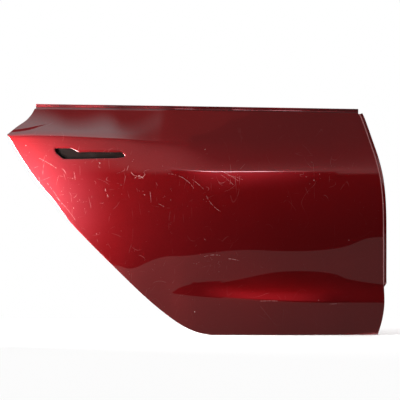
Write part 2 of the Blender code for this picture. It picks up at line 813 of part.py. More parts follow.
def build_outer_skin(stations, material, parent):
    sheet = Sheet()
    border = skin_edge_rings(sheet, stations)
    columns = belt_columns(stations)
    belt = [border[0]]
    for place in columns[1:-1]:
        belt.append(sheet.add(on_skin(*place)))
    belt.append(border[-1])
    outer = [Vector((sheet.points[index].x, sheet.points[index].z)) for index in border]
    outer += [Vector((sheet.points[index].x, sheet.points[index].z)) for index in reversed(belt[1:-1])]
    known = border + belt[1:-1][::-1]
    hole = handle_loop()
    roll = handle_loop(HANDLE_BORDER)
    lines = crease_lines(stations, outer, roll, [place.x for place in columns])
    spots = []
    for place in columns:
        for height in skin_rows(place.x):
            spot = Vector((place.x, height))
            if inside(spot, outer) and gap_to(spot, outer) > BORDER_WIDTH * NEAR_EDGE_SHARE:
                if not inside(spot, roll) and gap_to(spot, roll) > BORDER_WIDTH * NEAR_ROLL_SHARE:
                    spots.append(spot)
    found, origins, faces = fill_region(outer, [hole], [roll + roll[:1], *lines], spots)
    numbers = []
    for point, origin in zip(found, origins):
        match = [index for index in origin if index < len(known)]
        numbers.append(known[match[0]] if match else sheet.add(on_skin(*point)))
    sheet.faces.extend(tuple(numbers[index] for index in face) for face in faces)
    first = len(known)
    rim = [None] * len(hole)
    for index, origin in enumerate(origins):
        for source in origin:
            if first <= source < first + len(hole):
                rim[source - first] = numbers[index]
    lip = []
    for point in inset_loop(hole, HANDLE_DRAFT):
        lip.append(sheet.add(on_skin(*point, HANDLE_FLANGE)))
    sheet.closed_strip(rim, lip)
    ledge = []
    round_rise, round_drop = (BELT_BEND * share for share in BELT_ROUND_SHARES)
    for rise, drop in ((round_rise, round_drop), (BELT_BEND, BELT_BEND), (BELT_BEND, BELT_LEDGE)):
        ledge.append([sheet.points[index] + Vector((0.0, drop, rise)) for index in belt])
    tops = []
    for index in belt:
        point = sheet.points[index]
        tops.append(Vector((point.x, point.y + BELT_LEDGE, flange_top_height(point.x))))
    previous = belt
    for points in (*ledge, tops):
        ring = sheet.ring(points)
        sheet.strip(previous, ring)
        previous = ring
    return sheet_object("outer_skin", sheet, material, (0.0, -1.0, 0.0), SKIN_SHEET, parent)


def crease_lines(stations, outer, roll, places):
    """Haunch, character and sill creases as chains of points that end on the border."""
    lines = []
    tables = (HAUNCH_LINE_SHARES, MID_LINE_SHARES, SILL_LINE_SHARES)
    for table, from_share in zip(tables, CREASE_FROM_SHARES):
        line = []
        for along in places:
            spot = Vector((along, line_height(table, along)))
            if along < from_share * DOOR_LENGTH or not inside(spot, outer):
                continue
            if gap_to(spot, outer) > BORDER_WIDTH * NEAR_EDGE_SHARE and not inside(spot, roll):
                line.append(spot)
        ends = [Vector(point) for point in outer[:len(stations)]]
        if table is HAUNCH_LINE_SHARES:
            line.insert(0, min(ends[:len(ends) // 2], key=lambda point: point.x))
        front = min(
            (point for point in ends if point.x > line[-1].x),
            key=lambda point: abs(point.y - line_height(table, point.x)),
        )
        line.append(front)
        lines.append(line)
    return lines


# Inner panel.


def wall_places(stations):
    """Foot and crown of the pan's side wall at each station, flattened at the hinge, lock and beam."""
    feet = inset_ring(stations, WALL_INSET)
    crowns = inset_ring(stations, WALL_INSET + WALL_DRAFT)
    bends = inset_ring(stations, WALL_INSET + WALL_DRAFT + WALL_BEND * WALL_ROUND_SHARE)
    starts = inset_ring(stations, WALL_INSET + WALL_DRAFT + WALL_BEND)
    for index, station in enumerate(stations):
        height = station.place.y
        on_wall = HINGE_WALL_LOW - SLOPE_PROBE <= height <= HINGE_WALL_HIGH + SLOPE_PROBE
        if station.side == "front" and on_wall:
            feet[index] = Vector((HINGE_WALL, height))
            crowns[index] = Vector((HINGE_WALL, height))
            bends[index] = Vector((HINGE_WALL - WALL_BEND * WALL_ROUND_SHARE, height))
            starts[index] = Vector((HINGE_WALL - WALL_BEND, height))
    for low, high in ((LATCH_WALL_LOW, LATCH_WALL_HIGH), (BEAM_WALL_LOW, BEAM_WALL_HIGH)):
        first, last = rear_wall_ends(stations, low, high)
        line = (last[1] - first[1]).normalized()
        for index in range(first[0], last[0] + 1):
            along = (feet[index] - first[1]).dot(line)
            if index in (first[0], last[0]):
                along = (Vector(first[1] if index == first[0] else last[1]) - first[1]).dot(line)
            feet[index] = first[1] + line * along
            crowns[index] = feet[index].copy()
            inner = Vector((-line.y, line.x))
            bends[index] = feet[index] + inner * WALL_BEND * WALL_ROUND_SHARE
            starts[index] = feet[index] + inner * WALL_BEND
    return feet, crowns, bends, starts


def rear_wall_ends(stations, low, high):
    """Numbers and wall places of the two stations that bound a flat stretch of the rear wall."""
    ends = []
    for level in (high, low):
        index = min(
            (number for number, station in enumerate(stations) if station.side == "rear"),
            key=lambda number: abs(stations[number].place.y - level),
        )
        ends.append((index, stations[index].inset(WALL_INSET + WALL_DRAFT / 2)))
    return ends


def panel_rings(stations):
    """Rings of the pan from the tongue in the hem to the flat face."""
    feet, crowns, bends, starts = wall_places(stations)
    steps = inset_ring(stations, STEP_INSET)
    lands = inset_ring(stations, LAND_INSET)
    rings = [[] for _ in range(8)]
    for index, station in enumerate(stations):
        drop = STRIP_DROP if station.strip else 0.0
        middle = HEM_RADIUS + PANEL_SHEET / 2
        front = TONGUE_INSET + (HEM_RETURN * RELIEF_SHARE if station.relief else 0.0)
        tongue = station.inset(front - station.strip)
        heel = station.inset(TONGUE_INSET + TONGUE_WIDTH - station.strip)
        normal, out = edge_directions(station)
        edge = on_skin(*station.place) + Vector((0.0, drop, 0.0)) + normal * middle
        if station.strip:
            rings[0].append(edge + out * (station.strip - front))
            rings[1].append(edge + out * (station.strip - TONGUE_INSET - TONGUE_WIDTH))
        else:
            rings[0].append(on_skin(*tongue, middle))
            rings[1].append(on_skin(*heel, middle))
        step = steps[index].lerp(station.place, station.strip / 3 / STEP_INSET)
        rings[2].append(on_skin(*step) + Vector((0.0, STEP_DROP + drop, 0.0)))
        to_step, to_foot = LAND_SPREAD_SHARES
        land = lands[index].lerp(steps[index], to_step).lerp(feet[index], to_foot)
        level = LAND_DROP + drop * STRIP_STEP_SHARE
        rings[3].append(on_skin(*land) + Vector((0.0, level, 0.0)))
        foot, crown, bend, start = feet[index], crowns[index], bends[index], starts[index]
        rings[4].append(on_skin(*foot) + Vector((0.0, level + WALL_BEND / 2, 0.0)))
        rings[5].append(Vector((crown.x, face_depth(crown.x) - WALL_BEND, crown.y)))
        rings[6].append(Vector((bend.x, face_depth(bend.x) - WALL_BEND * WALL_ROUND_SHARE, bend.y)))
        rings[7].append(Vector((start.x, face_depth(start.x), start.y)))
    return rings


def trim_ends(rings):
    """Lowers the open ends of the pan at the belt, deeper on its inner side."""
    for number, ring in enumerate(rings):
        drop = TONGUE_INSET * 2 if number < 5 else FACE_TOP_DROP
        for end, neighbour in ((0, 1), (-1, -2)):
            way = ring[neighbour] - ring[end]
            share = min(drop / max(abs(way.z), SLOPE_PROBE), TRIM_SHARE)
            ring[end] = ring[end] + way * share


def emboss_loops(loop):
    """Outer rim of a pressed border, its floor line and the opening's edge."""
    return (
        inset_loop(loop, -(EMBOSS_LAND + EMBOSS_WIDTH)),
        inset_loop(loop, -EMBOSS_LAND),
        loop,
    )


def face_place(shares):
    return Vector((shares[0] * DOOR_LENGTH, shares[1] * DOOR_HEIGHT))


def bead_loops():
    """Floor line of each pressed bead, rounded at its ends."""
    loops = []
    for first, last in BEAD_SHARES:
        start, end = face_place(first), face_place(last)
        side = (end - start).orthogonal().normalized() * (BEAD_WIDTH / 2)
        corners = [start - side, end - side, end + side, start + side]
        loops.append(rounded_loop(corners, BEAD_WIDTH * BEAD_CORNER_SHARE, CORNER_POINTS))
    return loops


def panel_openings():
    """Openings with pressed borders, then plain round holes."""
    access = rounded_loop([face_place(corner) for corner in ACCESS_SHARES], ACCESS_CORNER, CORNER_POINTS)
    latch = rounded_loop(
        [face_place(corner) for corner in LATCH_ACCESS_SHARES], LATCH_ACCESS_CORNER, CORNER_POINTS
    )
    speaker = circle_loop(face_place(SPEAKER_PLACE_SHARES), SPEAKER_RADIUS, SPEAKER_POINTS)
    centres = [face_place(place) for place in ROUND_HOLE_SHARES]
    rounds = [circle_loop(centre, ROUND_HOLE_RADIUS, ROUND_POINTS) for centre in centres]
    return [access, latch, speaker], rounds


def build_inner_panel(stations, material, parent):
    sheet = Sheet()
    rings = panel_rings(stations)
    trim_ends(rings)
    previous = None
    for points in rings:
        ring = sheet.ring(points)
        if previous:
            sheet.strip(previous, ring)
        previous = ring
    rear, front = sheet.points[previous[0]], sheet.points[previous[-1]]
    top = [previous[0]]
    for index in range(1, BELT_COLUMNS):
        place = rear.lerp(front, index / BELT_COLUMNS)
        top.append(sheet.add((place.x, face_depth(place.x), place.z)))
    top.append(previous[-1])
    known = previous + top[1:-1][::-1]
    outer = [Vector((sheet.points[index].x, sheet.points[index].z)) for index in known]
    pressed, rounds = panel_openings()
    lines, holes = [], []
    floors = []
    for loop in pressed:
        rim, floor, hole = emboss_loops(loop)
        lines.append(rim + rim[:1])
        lines.append(floor + floor[:1])
        holes.append(hole)
        floors.append(floor)
    for floor in bead_loops():
        rim = inset_loop(floor, -EMBOSS_WIDTH)
        lines.append(rim + rim[:1])
        lines.append(floor + floor[:1])
        floors.append(floor)
    holes += rounds
    found, origins, faces = fill_region(outer, holes, lines, [])
    numbers = []
    for point, origin in zip(found, origins):
        match = [index for index in origin if index < len(known)]
        if match:
            numbers.append(known[match[0]])
            continue
        pressed_in = any(inside(point, inset_loop(floor, -SLOPE_PROBE)) for floor in floors)
        depth = face_depth(point.x) - (EMBOSS_DROP if pressed_in else 0.0)
        numbers.append(sheet.add((point.x, depth, point.y)))
    sheet.faces.extend(tuple(numbers[index] for index in face) for face in faces)
    previous = top
    first_rise, second_rise = (FACE_TOP_DROP * share for share in LEDGE_RISE_SHARES)
    for rise, drop in (
        (first_rise, RAIL_LEDGE_BEND), (second_rise, RAIL_LEDGE), (RAIL_RISE, RAIL_LEDGE)
    ):
        ring = sheet.ring(sheet.points[index] + Vector((0.0, -drop, rise)) for index in top)
        sheet.strip(previous, ring)
        previous = ring
    return sheet_object("inner_panel", sheet, material, (0.0, 1.0, 0.0), PANEL_SHEET, parent)


# Reinforcements.


def loft_object(name, rows, material, outward, thickness, parent):
    """Open pressed section drawn as rows of points and thickened."""
    sheet = Sheet()
    previous = None
    for row in rows:
        ring = sheet.ring(row)
        if previous:
            sheet.strip(previous, ring)
        previous = ring
    return sheet_object(name, sheet, material, outward, thickness, parent)


def build_outer_rail(stations, material, parent):
    rows = []
    for place in belt_columns(stations)[1:-1]:
        depth = on_skin(*place).y + BELT_LEDGE + SKIN_SHEET + WELD_GAP
        top = flange_top_height(place.x) - SKIN_SHEET
        low = place.y - OUTER_RAIL_HEIGHT
        shoulder = place.y - OUTER_RAIL_SIDE
        waist = low + OUTER_RAIL_LIP + OUTER_RAIL_SIDE
        rows.append([
            Vector((place.x, depth, top)),
            Vector((place.x, depth, place.y + BELT_BEND)),
            Vector((place.x, depth + OUTER_RAIL_DEPTH / 2, shoulder)),
            on_skin(place.x, waist, OUTER_RAIL_DEPTH + OUTER_RAIL_GAP),
            on_skin(place.x, low + OUTER_RAIL_LIP, OUTER_RAIL_GAP),
            on_skin(place.x, low, OUTER_RAIL_GAP),
        ])
    return loft_object("waist_rail_outer", rows, material, (0.0, -1.0, 0.0), RAIL_SHEET, parent)


def build_inner_rail(material, parent):
    rows = []
    first, last = (share * DOOR_LENGTH for share in INNER_RAIL_SPAN_SHARES)
    for along in (first, last):
        seat = face_depth(along) - PANEL_SHEET - WELD_GAP
        top = belt_height(along) - FACE_TOP_DROP - RAIL_LEDGE
        crown = seat - INNER_RAIL_DEPTH
        low = top - INNER_RAIL_HEIGHT
        rows.append([
            Vector((along, seat, top)),
            Vector((along, seat, top - INNER_RAIL_LIP)),
            Vector((along, crown, top - INNER_RAIL_LIP - INNER_RAIL_SIDE)),
            Vector((along, crown, low + INNER_RAIL_LIP + INNER_RAIL_SIDE)),
            Vector((along, seat, low + INNER_RAIL_LIP)),
            Vector((along, seat, low)),
        ])
    return loft_object("waist_rail_inner", rows, material, (0.0, 1.0, 0.0), RAIL_SHEET, parent)


def beam_places():
    first, last = (share * DOOR_LENGTH for share in BEAM_SPAN_SHARES)
    for index in range(BEAM_COLUMNS + 1):
        part = index / BEAM_COLUMNS
        along = first + (last - first) * part
        yield along, BEAM_REAR_HEIGHT + (BEAM_FRONT_HEIGHT - BEAM_REAR_HEIGHT) * part


def beam_section(along, height):
    """Lips by the skin and a crown inboard of it."""
    half = BEAM_WIDTH / 2
    crown = BEAM_CLEARANCE + BEAM_DEPTH
    return [
        on_skin(along, height + half, BEAM_CLEARANCE),
        on_skin(along, height + half - BEAM_LIP, BEAM_CLEARANCE),
        on_skin(along, height + half - BEAM_LIP - BEAM_SIDE, crown),
        on_skin(along, height - half + BEAM_LIP + BEAM_SIDE, crown),
        on_skin(along, height - half + BEAM_LIP, BEAM_CLEARANCE),
        on_skin(along, height - half, BEAM_CLEARANCE),
    ]


def build_beam(material, parent):
    rows = [beam_section(along, height) for along, height in beam_places()]
    return loft_object("impact_beam", rows, material, (0.0, -1.0, 0.0), BEAM_SHEET, parent)


def build_front_bracket(material, parent):
    """Angle that laps the beam's crown and turns along the hinge wall."""
    sections = [beam_section(along, height) for along, height in list(beam_places())[-2:]]
    offset = Vector((0.0, BEAM_SHEET + LAP_GAP, 0.0))
    wall = HINGE_WALL - PANEL_SHEET - WELD_GAP
    upper = [section[2] + offset for section in sections]
    lower = [section[3] + offset for section in sections]
    rows = []
    for part in (BRACKET_LAP_SHARE, 1.0):
        rows.append([upper[0].lerp(upper[1], part), lower[0].lerp(lower[1], part)])
    high, low = rows[-1]
    depth = max(high.y, low.y) + BEAM_CLEARANCE
    rows.append([Vector((wall, depth, high.z)), Vector((wall, depth, low.z))])
    depth += BRACKET_LIP
    rows.append([Vector((wall, depth, high.z)), Vector((wall, depth, low.z))])
    return loft_object("beam_bracket_front", rows, material, (0.0, -1.0, 0.0), RAIL_SHEET, parent)


def rear_wall(stations, low, high):
    """Point, line up the wall and way out of a flat stretch of the rear wall."""
    first, last = rear_wall_ends(stations, low, high)
    upward = (first[1] - last[1]).normalized()
    middle = (first[1] + last[1]) / 2
    out = Vector((-upward.y, upward.x))
    if out.dot(stations[first[0]].outward) < 0:
        out = -out
    return middle, upward, out, (first[1] - last[1]).length


def build_rear_bracket(stations, material, parent):
    """Angle that laps the beam's crown and turns along the flat rear wall."""
    middle, upward, out, length = rear_wall(stations, BEAM_WALL_LOW, BEAM_WALL_HIGH)
    sections = [beam_section(along, height) for along, height in list(beam_places())[:2]]
    offset = Vector((0.0, BEAM_SHEET + LAP_GAP, 0.0))
    upper = [section[2] + offset for section in sections]
    lower = [section[3] + offset for section in sections]
    rows = []
    for part in (BRACKET_LAP_SHARE, 0.0):
        rows.append([upper[0].lerp(upper[1], part), lower[0].lerp(lower[1], part)])
    seat = middle - out * (PANEL_SHEET + WELD_GAP)
    half = length * BRACKET_HALF_SHARE
    high, low = seat + upward * half, seat - upward * half
    depth = max(rows[-1][0].y, rows[-1][1].y) + BEAM_CLEARANCE
    for reach in (0.0, BRACKET_LIP):
        rows.append([
            Vector((high.x, depth + reach, high.y)),
            Vector((low.x, depth + reach, low.y)),
        ])
    return loft_object("beam_bracket_rear", rows, material, (0.0, -1.0, 0.0), RAIL_SHEET, parent)


def build_mastic(material, parent):
    """Soft pads between the beam's upper lip and the skin."""
    places = list(beam_places())
    first, last = places[0], places[-1]
    for number, part in enumerate(MASTIC_SHARES):
        along = first[0] + (last[0] - first[0]) * part
        height = first[1] + (last[1] - first[1]) * part + BEAM_WIDTH / 2 - BEAM_LIP / 2
        half_long, half_tall = MASTIC_LENGTH / 2, BEAM_LIP * MASTIC_HALF_SHARE
        corners = [
            (-half_long, -half_tall), (half_long, -half_tall), (half_long, half_tall), (-half_long, half_tall)
        ]
        near = [on_skin(along + x, height + z, SKIN_SHEET + LAP_GAP) for x, z in corners]
        far = [on_skin(along + x, height + z, BEAM_CLEARANCE - LAP_GAP) for x, z in corners]
        faces = [(3, 2, 1, 0), (4, 5, 6, 7)]
        faces += [(i, (i + 1) % 4, (i + 1) % 4 + 4, i + 4) for i in range(4)]
        outward = Vector((0.0, -1.0, 0.0))
        finish_mesh("mastic_pad_" + str(number + 1), near + far, faces, material, outward, parent, True)


def build_brace(material, parent):
    """Upright ribbed strap behind the skin, from the waist rail's lip to the beam's lip."""
    along = BRACE_SHARE * DOOR_LENGTH
    beam_start, beam_end = BEAM_SPAN_SHARES
    beam_share = (along / DOOR_LENGTH - beam_start) / (beam_end - beam_start)
    beam_height = BEAM_REAR_HEIGHT + (BEAM_FRONT_HEIGHT - BEAM_REAR_HEIGHT) * beam_share
    low = beam_height + BEAM_WIDTH / 2 - BEAM_LIP / 2
    high = belt_height(along) - OUTER_RAIL_HEIGHT + OUTER_RAIL_LIP * BRACE_LAP_SHARE
    lap_low = BEAM_CLEARANCE + BEAM_SHEET + LAP_GAP
    lap_high = OUTER_RAIL_GAP + RAIL_SHEET + LAP_GAP
    half = BRACE_WIDTH / 2
    rows = []
    for index in range(BRACE_ROWS + 1):
        part = index / BRACE_ROWS
        height = low + (high - low) * part
        offset = lap_low + (lap_high - lap_low) * part
        rib = BRACE_RIB * math.sin(math.pi * part)
        rows.append([
            on_skin(along - half, height, offset),
            on_skin(along - half + BRACE_LIP, height, offset),
            on_skin(along - half + BRACE_LIP + BRACE_SIDE, height, offset + rib),
            on_skin(along + half - BRACE_LIP - BRACE_SIDE, height, offset + rib),
            on_skin(along + half - BRACE_LIP, height, offset),
            on_skin(along + half, height, offset),
        ])
    return loft_object("skin_brace", rows, material, (0.0, -1.0, 0.0), RAIL_SHEET, parent)


# Handle seat.


def build_handle_plate(material, parent):
    """Reinforcing frame on the skin's inner side round the handle opening."""
    outer = inset_loop(handle_loop(), -HANDLE_PLATE_MARGIN)
    inner = inset_loop(handle_loop(), -(LAP_GAP + SKIN_SHEET + PANEL_SHEET))
    sheet = Sheet()
    outside = sheet.ring(on_skin(*point, SKIN_SHEET + LAP_GAP) for point in outer)
    within = sheet.ring(on_skin(*point, SKIN_SHEET + LAP_GAP) for point in inner)
    sheet.closed_strip(outside, within)
    return sheet_object("handle_plate", sheet, material, (0.0, -1.0, 0.0), RAIL_SHEET, parent)


def build_handle_tray(material, parent):
    """Moulded tray behind the opening that seats on the frame."""
    seat = SKIN_SHEET + LAP_GAP + RAIL_SHEET + LAP_GAP
    floor = HANDLE_FLANGE + HANDLE_TRAY_DEPTH
    sheet = Sheet()
    rim = inset_loop(handle_loop(), -HANDLE_TRAY_MARGIN)
    throat = inset_loop(handle_loop(), -(LAP_GAP + SKIN_SHEET + HANDLE_TRAY_WALL + PANEL_SHEET))
    base = inset_loop(handle_loop(), -(SKIN_SHEET + PANEL_SHEET))
    rings = [
        sheet.ring(on_skin(*point, seat) for point in rim),
        sheet.ring(on_skin(*point, seat) for point in throat),
        sheet.ring(on_skin(*point, floor) for point in base),
    ]
    for first, second in zip(rings, rings[1:]):
        sheet.closed_strip(first, second)
    found, origins, faces = fill_region(base, [], [], [])
    numbers = []
    for point, origin in zip(found, origins):
        numbers.append(rings[-1][origin[0]] if origin else sheet.add(on_skin(*point, floor)))
    sheet.faces.extend(tuple(numbers[index] for index in face) for face in faces)
    return sheet_object("handle_tray", sheet, material, (0.0, -1.0, 0.0), HANDLE_TRAY_WALL, parent)


# Plates, nuts and the holes that go with them.


def build_wall_fittings(stations, panel, plate_material, nut_material, parent):
    up, inboard = (0.0, 0.0, 1.0), (0.0, 1.0, 0.0)
    seat = HINGE_WALL - PANEL_SHEET - WELD_GAP
    nut_seat = seat - PLATE_SHEET - WELD_GAP
    spacing = HINGE_HOLE_SPACING / 2
    loop = box_loop(HINGE_PLATE_HEIGHT, HINGE_PLATE_WIDTH, PLATE_CORNER)
    holes = [circle_loop((z, 0.0), HINGE_HOLE_RADIUS, HOLE_POINTS) for z in (-spacing, spacing)]
    for name, height in (("upper", UPPER_HINGE_HEIGHT), ("lower", LOWER_HINGE_HEIGHT)):
        origin = (seat, HINGE_DEPTH, height)
        plate_object(
            "hinge_plate_" + name, loop, holes, PLATE_SHEET, origin, up, inboard, plate_material, parent
        )
        for label, z in (("a", -spacing), ("b", spacing)):
            place = (nut_seat, HINGE_DEPTH, height + z)
            nut_object(
                "hinge_nut_" + name + "_" + label, LARGE_NUT_WIDTH, LARGE_NUT_HEIGHT, HINGE_HOLE_RADIUS,
                place, up, inboard, nut_material, parent,
            )
            hole = circle_loop((0.0, 0.0), HINGE_HOLE_RADIUS, HOLE_POINTS)
            cut(panel, cutter_object(
                "hinge_hole_" + name + "_" + label, hole, (HINGE_WALL, HINGE_DEPTH, height + z),
                up, inboard, CUT_OVERRUN, parent,
            ))
    build_check_fittings(panel, seat, nut_seat, plate_material, nut_material, parent)
    build_latch_fittings(stations, panel, plate_material, nut_material, parent)


def build_check_fittings(panel, seat, nut_seat, plate_material, nut_material, parent):
    up, inboard = (0.0, 0.0, 1.0), (0.0, 1.0, 0.0)
    spacing = CHECK_HOLE_SPACING / 2
    slot = box_loop(CHECK_SLOT_HEIGHT, CHECK_SLOT_WIDTH, CHECK_HOLE_RADIUS)
    holes = [circle_loop((z, 0.0), CHECK_HOLE_RADIUS, HOLE_POINTS) for z in (-spacing, spacing)]
    plate_object(
        "check_plate", box_loop(CHECK_PLATE_HEIGHT, CHECK_PLATE_WIDTH, PLATE_CORNER), [slot, *holes],
        PLATE_SHEET, (seat, HINGE_DEPTH, CHECK_HEIGHT), up, inboard, plate_material, parent,
    )
    centre = (HINGE_WALL, HINGE_DEPTH, CHECK_HEIGHT)
    cut(panel, cutter_object("check_slot_cutter", slot, centre, up, inboard, CUT_OVERRUN, parent))
    for label, z in (("a", -spacing), ("b", spacing)):
        nut_object(
            "check_nut_" + label, SMALL_NUT_WIDTH, SMALL_NUT_HEIGHT, CHECK_HOLE_RADIUS,
            (nut_seat, HINGE_DEPTH, CHECK_HEIGHT + z), up, inboard, nut_material, parent,
        )
        hole = circle_loop((0.0, 0.0), CHECK_HOLE_RADIUS, HOLE_POINTS)
        centre = (HINGE_WALL, HINGE_DEPTH, CHECK_HEIGHT + z)
        cut(panel, cutter_object("check_hole_" + label, hole, centre, up, inboard, CUT_OVERRUN, parent))


def latch_frame(stations):
    """Centre of the lock face, its line up the wall and its way out."""
    middle, upward, out, _ = rear_wall(stations, LATCH_WALL_LOW, LATCH_WALL_HIGH)
    outboard = skin_depth(middle.x, middle.y) + LAND_DROP + WALL_BEND / 2
    depth = outboard + (face_depth(middle.x) - WALL_BEND - outboard) * LATCH_DEPTH_SHARE
    origin = Vector((middle.x, depth, middle.y))
    return origin, Vector((upward.x, 0.0, upward.y)), Vector((out.x, 0.0, out.y))


def build_latch_fittings(stations, panel, plate_material, nut_material, parent):
    origin, upward, out = latch_frame(stations)
    inboard = upward.cross(-out).normalized()
    across = upward
    if across.cross(inboard).dot(out) > 0:
        inboard = -inboard
    seat = origin - out * (PANEL_SHEET + WELD_GAP)
    slot = box_loop(LATCH_SLOT_LENGTH, LATCH_SLOT_WIDTH, LATCH_HOLE_RADIUS)
    spots = [(x * LATCH_PLATE_LENGTH, y * LATCH_PLATE_WIDTH) for x, y in LATCH_HOLE_SHARES]
    holes = [circle_loop(spot, LATCH_HOLE_RADIUS, HOLE_POINTS) for spot in spots]
    plate_object(
        "latch_plate", box_loop(LATCH_PLATE_LENGTH, LATCH_PLATE_WIDTH, PLATE_CORNER), [slot, *holes],
        PLATE_SHEET, seat, across, inboard, plate_material, parent,
    )
    cut(panel, cutter_object("latch_slot_cutter", slot, origin, across, inboard, CUT_OVERRUN, parent))
    for number, spot in enumerate(spots):
        shift = across * spot[0] + inboard * spot[1]
        place = seat + shift - out * (PLATE_SHEET + WELD_GAP)
        nut_object(
            "latch_nut_" + str(number + 1), SMALL_NUT_WIDTH, SMALL_NUT_HEIGHT, LATCH_HOLE_RADIUS,
            place, across, inboard, nut_material, parent,
        )
        hole = circle_loop((0.0, 0.0), LATCH_HOLE_RADIUS, HOLE_POINTS)
        cut(panel, cutter_object(
            "latch_hole_" + str(number + 1), hole, origin + shift, across, inboard, CUT_OVERRUN, parent
        ))


def build_pull_bracket(material, parent):
    """Raised strap on the inner face that takes the grab handle."""
    centre = face_place(PULL_PLACE_SHARES)
    half, tall = PULL_LENGTH / 2, PULL_HEIGHT / 2
    rows = []
    for reach, rise in (
        (-half, 0.0), (-half + PULL_LIP, 0.0), (-half + PULL_LIP + PULL_SIDE, PULL_RISE),
        (half - PULL_LIP - PULL_SIDE, PULL_RISE), (half - PULL_LIP, 0.0), (half, 0.0),
    ):
        along = centre.x + reach
        depth = face_depth(along) + WELD_GAP + rise + RAIL_SHEET
        rows.append([Vector((along, depth, centre.y - tall)), Vector((along, depth, centre.y + tall))])
    return loft_object("pull_bracket", rows, material, (0.0, 1.0, 0.0), RAIL_SHEET, parent)


def main():
    clear_scene()
    origin = bpy.data.objects.new("door_shell", None)
    bpy.context.scene.collection.objects.link(origin)
    origin.location = (-HINGE_WALL, -HINGE_DEPTH, -UPPER_HINGE_HEIGHT)
    paint = make_material("red_paint", (0.22, 0.012, 0.016), 0.28, 0.75)
    inner_paint = make_material("inner_paint", (0.20, 0.012, 0.015), 0.42, 0.55)
    primer = make_material("primed_steel", (0.19, 0.013, 0.015), 0.55, 0.45)
    zinc = make_material("zinc_nuts", (0.55, 0.55, 0.52), 0.40, 0.9)
    plastic = make_material("black_plastic", (0.018, 0.017, 0.017), 0.45, 0.0)
    putty = make_material("mastic", (0.05, 0.05, 0.05), 0.8, 0.0)
    stations = edge_stations()
    build_outer_skin(stations, paint, origin)
    panel = build_inner_panel(stations, inner_paint, origin)
    build_outer_rail(stations, primer, origin)
    build_inner_rail(primer, origin)
    build_beam(primer, origin)
    build_front_bracket(primer, origin)
    build_rear_bracket(stations, primer, origin)
    build_mastic(putty, origin)
    build_brace(primer, origin)
    build_handle_plate(primer, origin)
    build_handle_tray(plastic, origin)
    build_wall_fittings(stations, panel, primer, zinc, origin)
    build_pull_bracket(primer, origin)


main()
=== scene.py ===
# Rear door shell of a car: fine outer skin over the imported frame, paint and marks, plain studio.
import math

import bmesh
import bpy
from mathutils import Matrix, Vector
from mathutils.geometry import delaunay_2d_cdt


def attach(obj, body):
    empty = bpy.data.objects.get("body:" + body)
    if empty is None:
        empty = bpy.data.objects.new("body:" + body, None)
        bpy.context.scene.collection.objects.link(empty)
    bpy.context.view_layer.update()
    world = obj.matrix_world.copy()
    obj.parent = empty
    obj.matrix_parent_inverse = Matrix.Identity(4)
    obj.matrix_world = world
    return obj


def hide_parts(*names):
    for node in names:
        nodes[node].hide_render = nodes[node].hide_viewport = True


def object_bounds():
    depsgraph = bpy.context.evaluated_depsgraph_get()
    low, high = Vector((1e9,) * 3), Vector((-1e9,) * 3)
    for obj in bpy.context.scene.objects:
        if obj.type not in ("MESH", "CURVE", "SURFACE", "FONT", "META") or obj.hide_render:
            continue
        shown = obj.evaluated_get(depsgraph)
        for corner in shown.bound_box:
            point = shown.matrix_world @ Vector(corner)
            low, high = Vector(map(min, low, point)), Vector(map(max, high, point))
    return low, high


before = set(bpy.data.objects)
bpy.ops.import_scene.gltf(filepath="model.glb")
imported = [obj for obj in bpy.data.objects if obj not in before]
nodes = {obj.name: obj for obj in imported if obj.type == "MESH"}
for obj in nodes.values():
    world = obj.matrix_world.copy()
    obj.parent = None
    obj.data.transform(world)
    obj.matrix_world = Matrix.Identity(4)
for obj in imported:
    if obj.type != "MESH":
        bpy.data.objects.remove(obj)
cadBounds = [list(corner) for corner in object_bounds()]
print("frame loaded with", len(nodes), "nodes")


# A socket that can be used in sums, so a pattern reads as a plain expression.
class Wire:
    def __init__(self, tree, socket):
        self.tree = tree
        self.socket = socket

    def math(self, operation, first, second=None):
        node = self.tree.nodes.new("ShaderNodeMath")
        node.operation = operation
        plug(self.tree, node.inputs[0], first)
        if second is not None:
            plug(self.tree, node.inputs[1], second)
        return Wire(self.tree, node.outputs[0])

    def __add__(self, other):
        return self.math("ADD", self, other)

    __radd__ = __add__

    def __sub__(self, other):
        return self.math("SUBTRACT", self, other)

    def __rsub__(self, other):
        return self.math("SUBTRACT", other, self)

    def __mul__(self, other):
        return self.math("MULTIPLY", self, other)

    __rmul__ = __mul__

    def __truediv__(self, other):
        return self.math("DIVIDE", self, other)

    def __rtruediv__(self, other):
        return self.math("DIVIDE", other, self)

    def __abs__(self):
        return self.math("ABSOLUTE", self)

    def __lt__(self, other):
        return self.math("LESS_THAN", self, other)

    # 0 below low, 1 above high, smooth between
    def fadeIn(self, low, high):
        node = self.tree.nodes.new("ShaderNodeMapRange")
        node.interpolation_type = "SMOOTHSTEP"
        plug(self.tree, node.inputs["Value"], self)
        node.inputs["From Min"].default_value = low
        node.inputs["From Max"].default_value = high
        return Wire(self.tree, node.outputs["Result"])

    def most(self, other):
        return self.math("MAXIMUM", self, other)


def plug(tree, socket, item):
    if isinstance(item, Wire):
        tree.links.new(item.socket, socket)
    elif isinstance(item, (tuple, list)) and len(item) == 3 and len(socket.default_value) == 4:
        socket.default_value = (*item, 1.0)
    else:
        socket.default_value = item


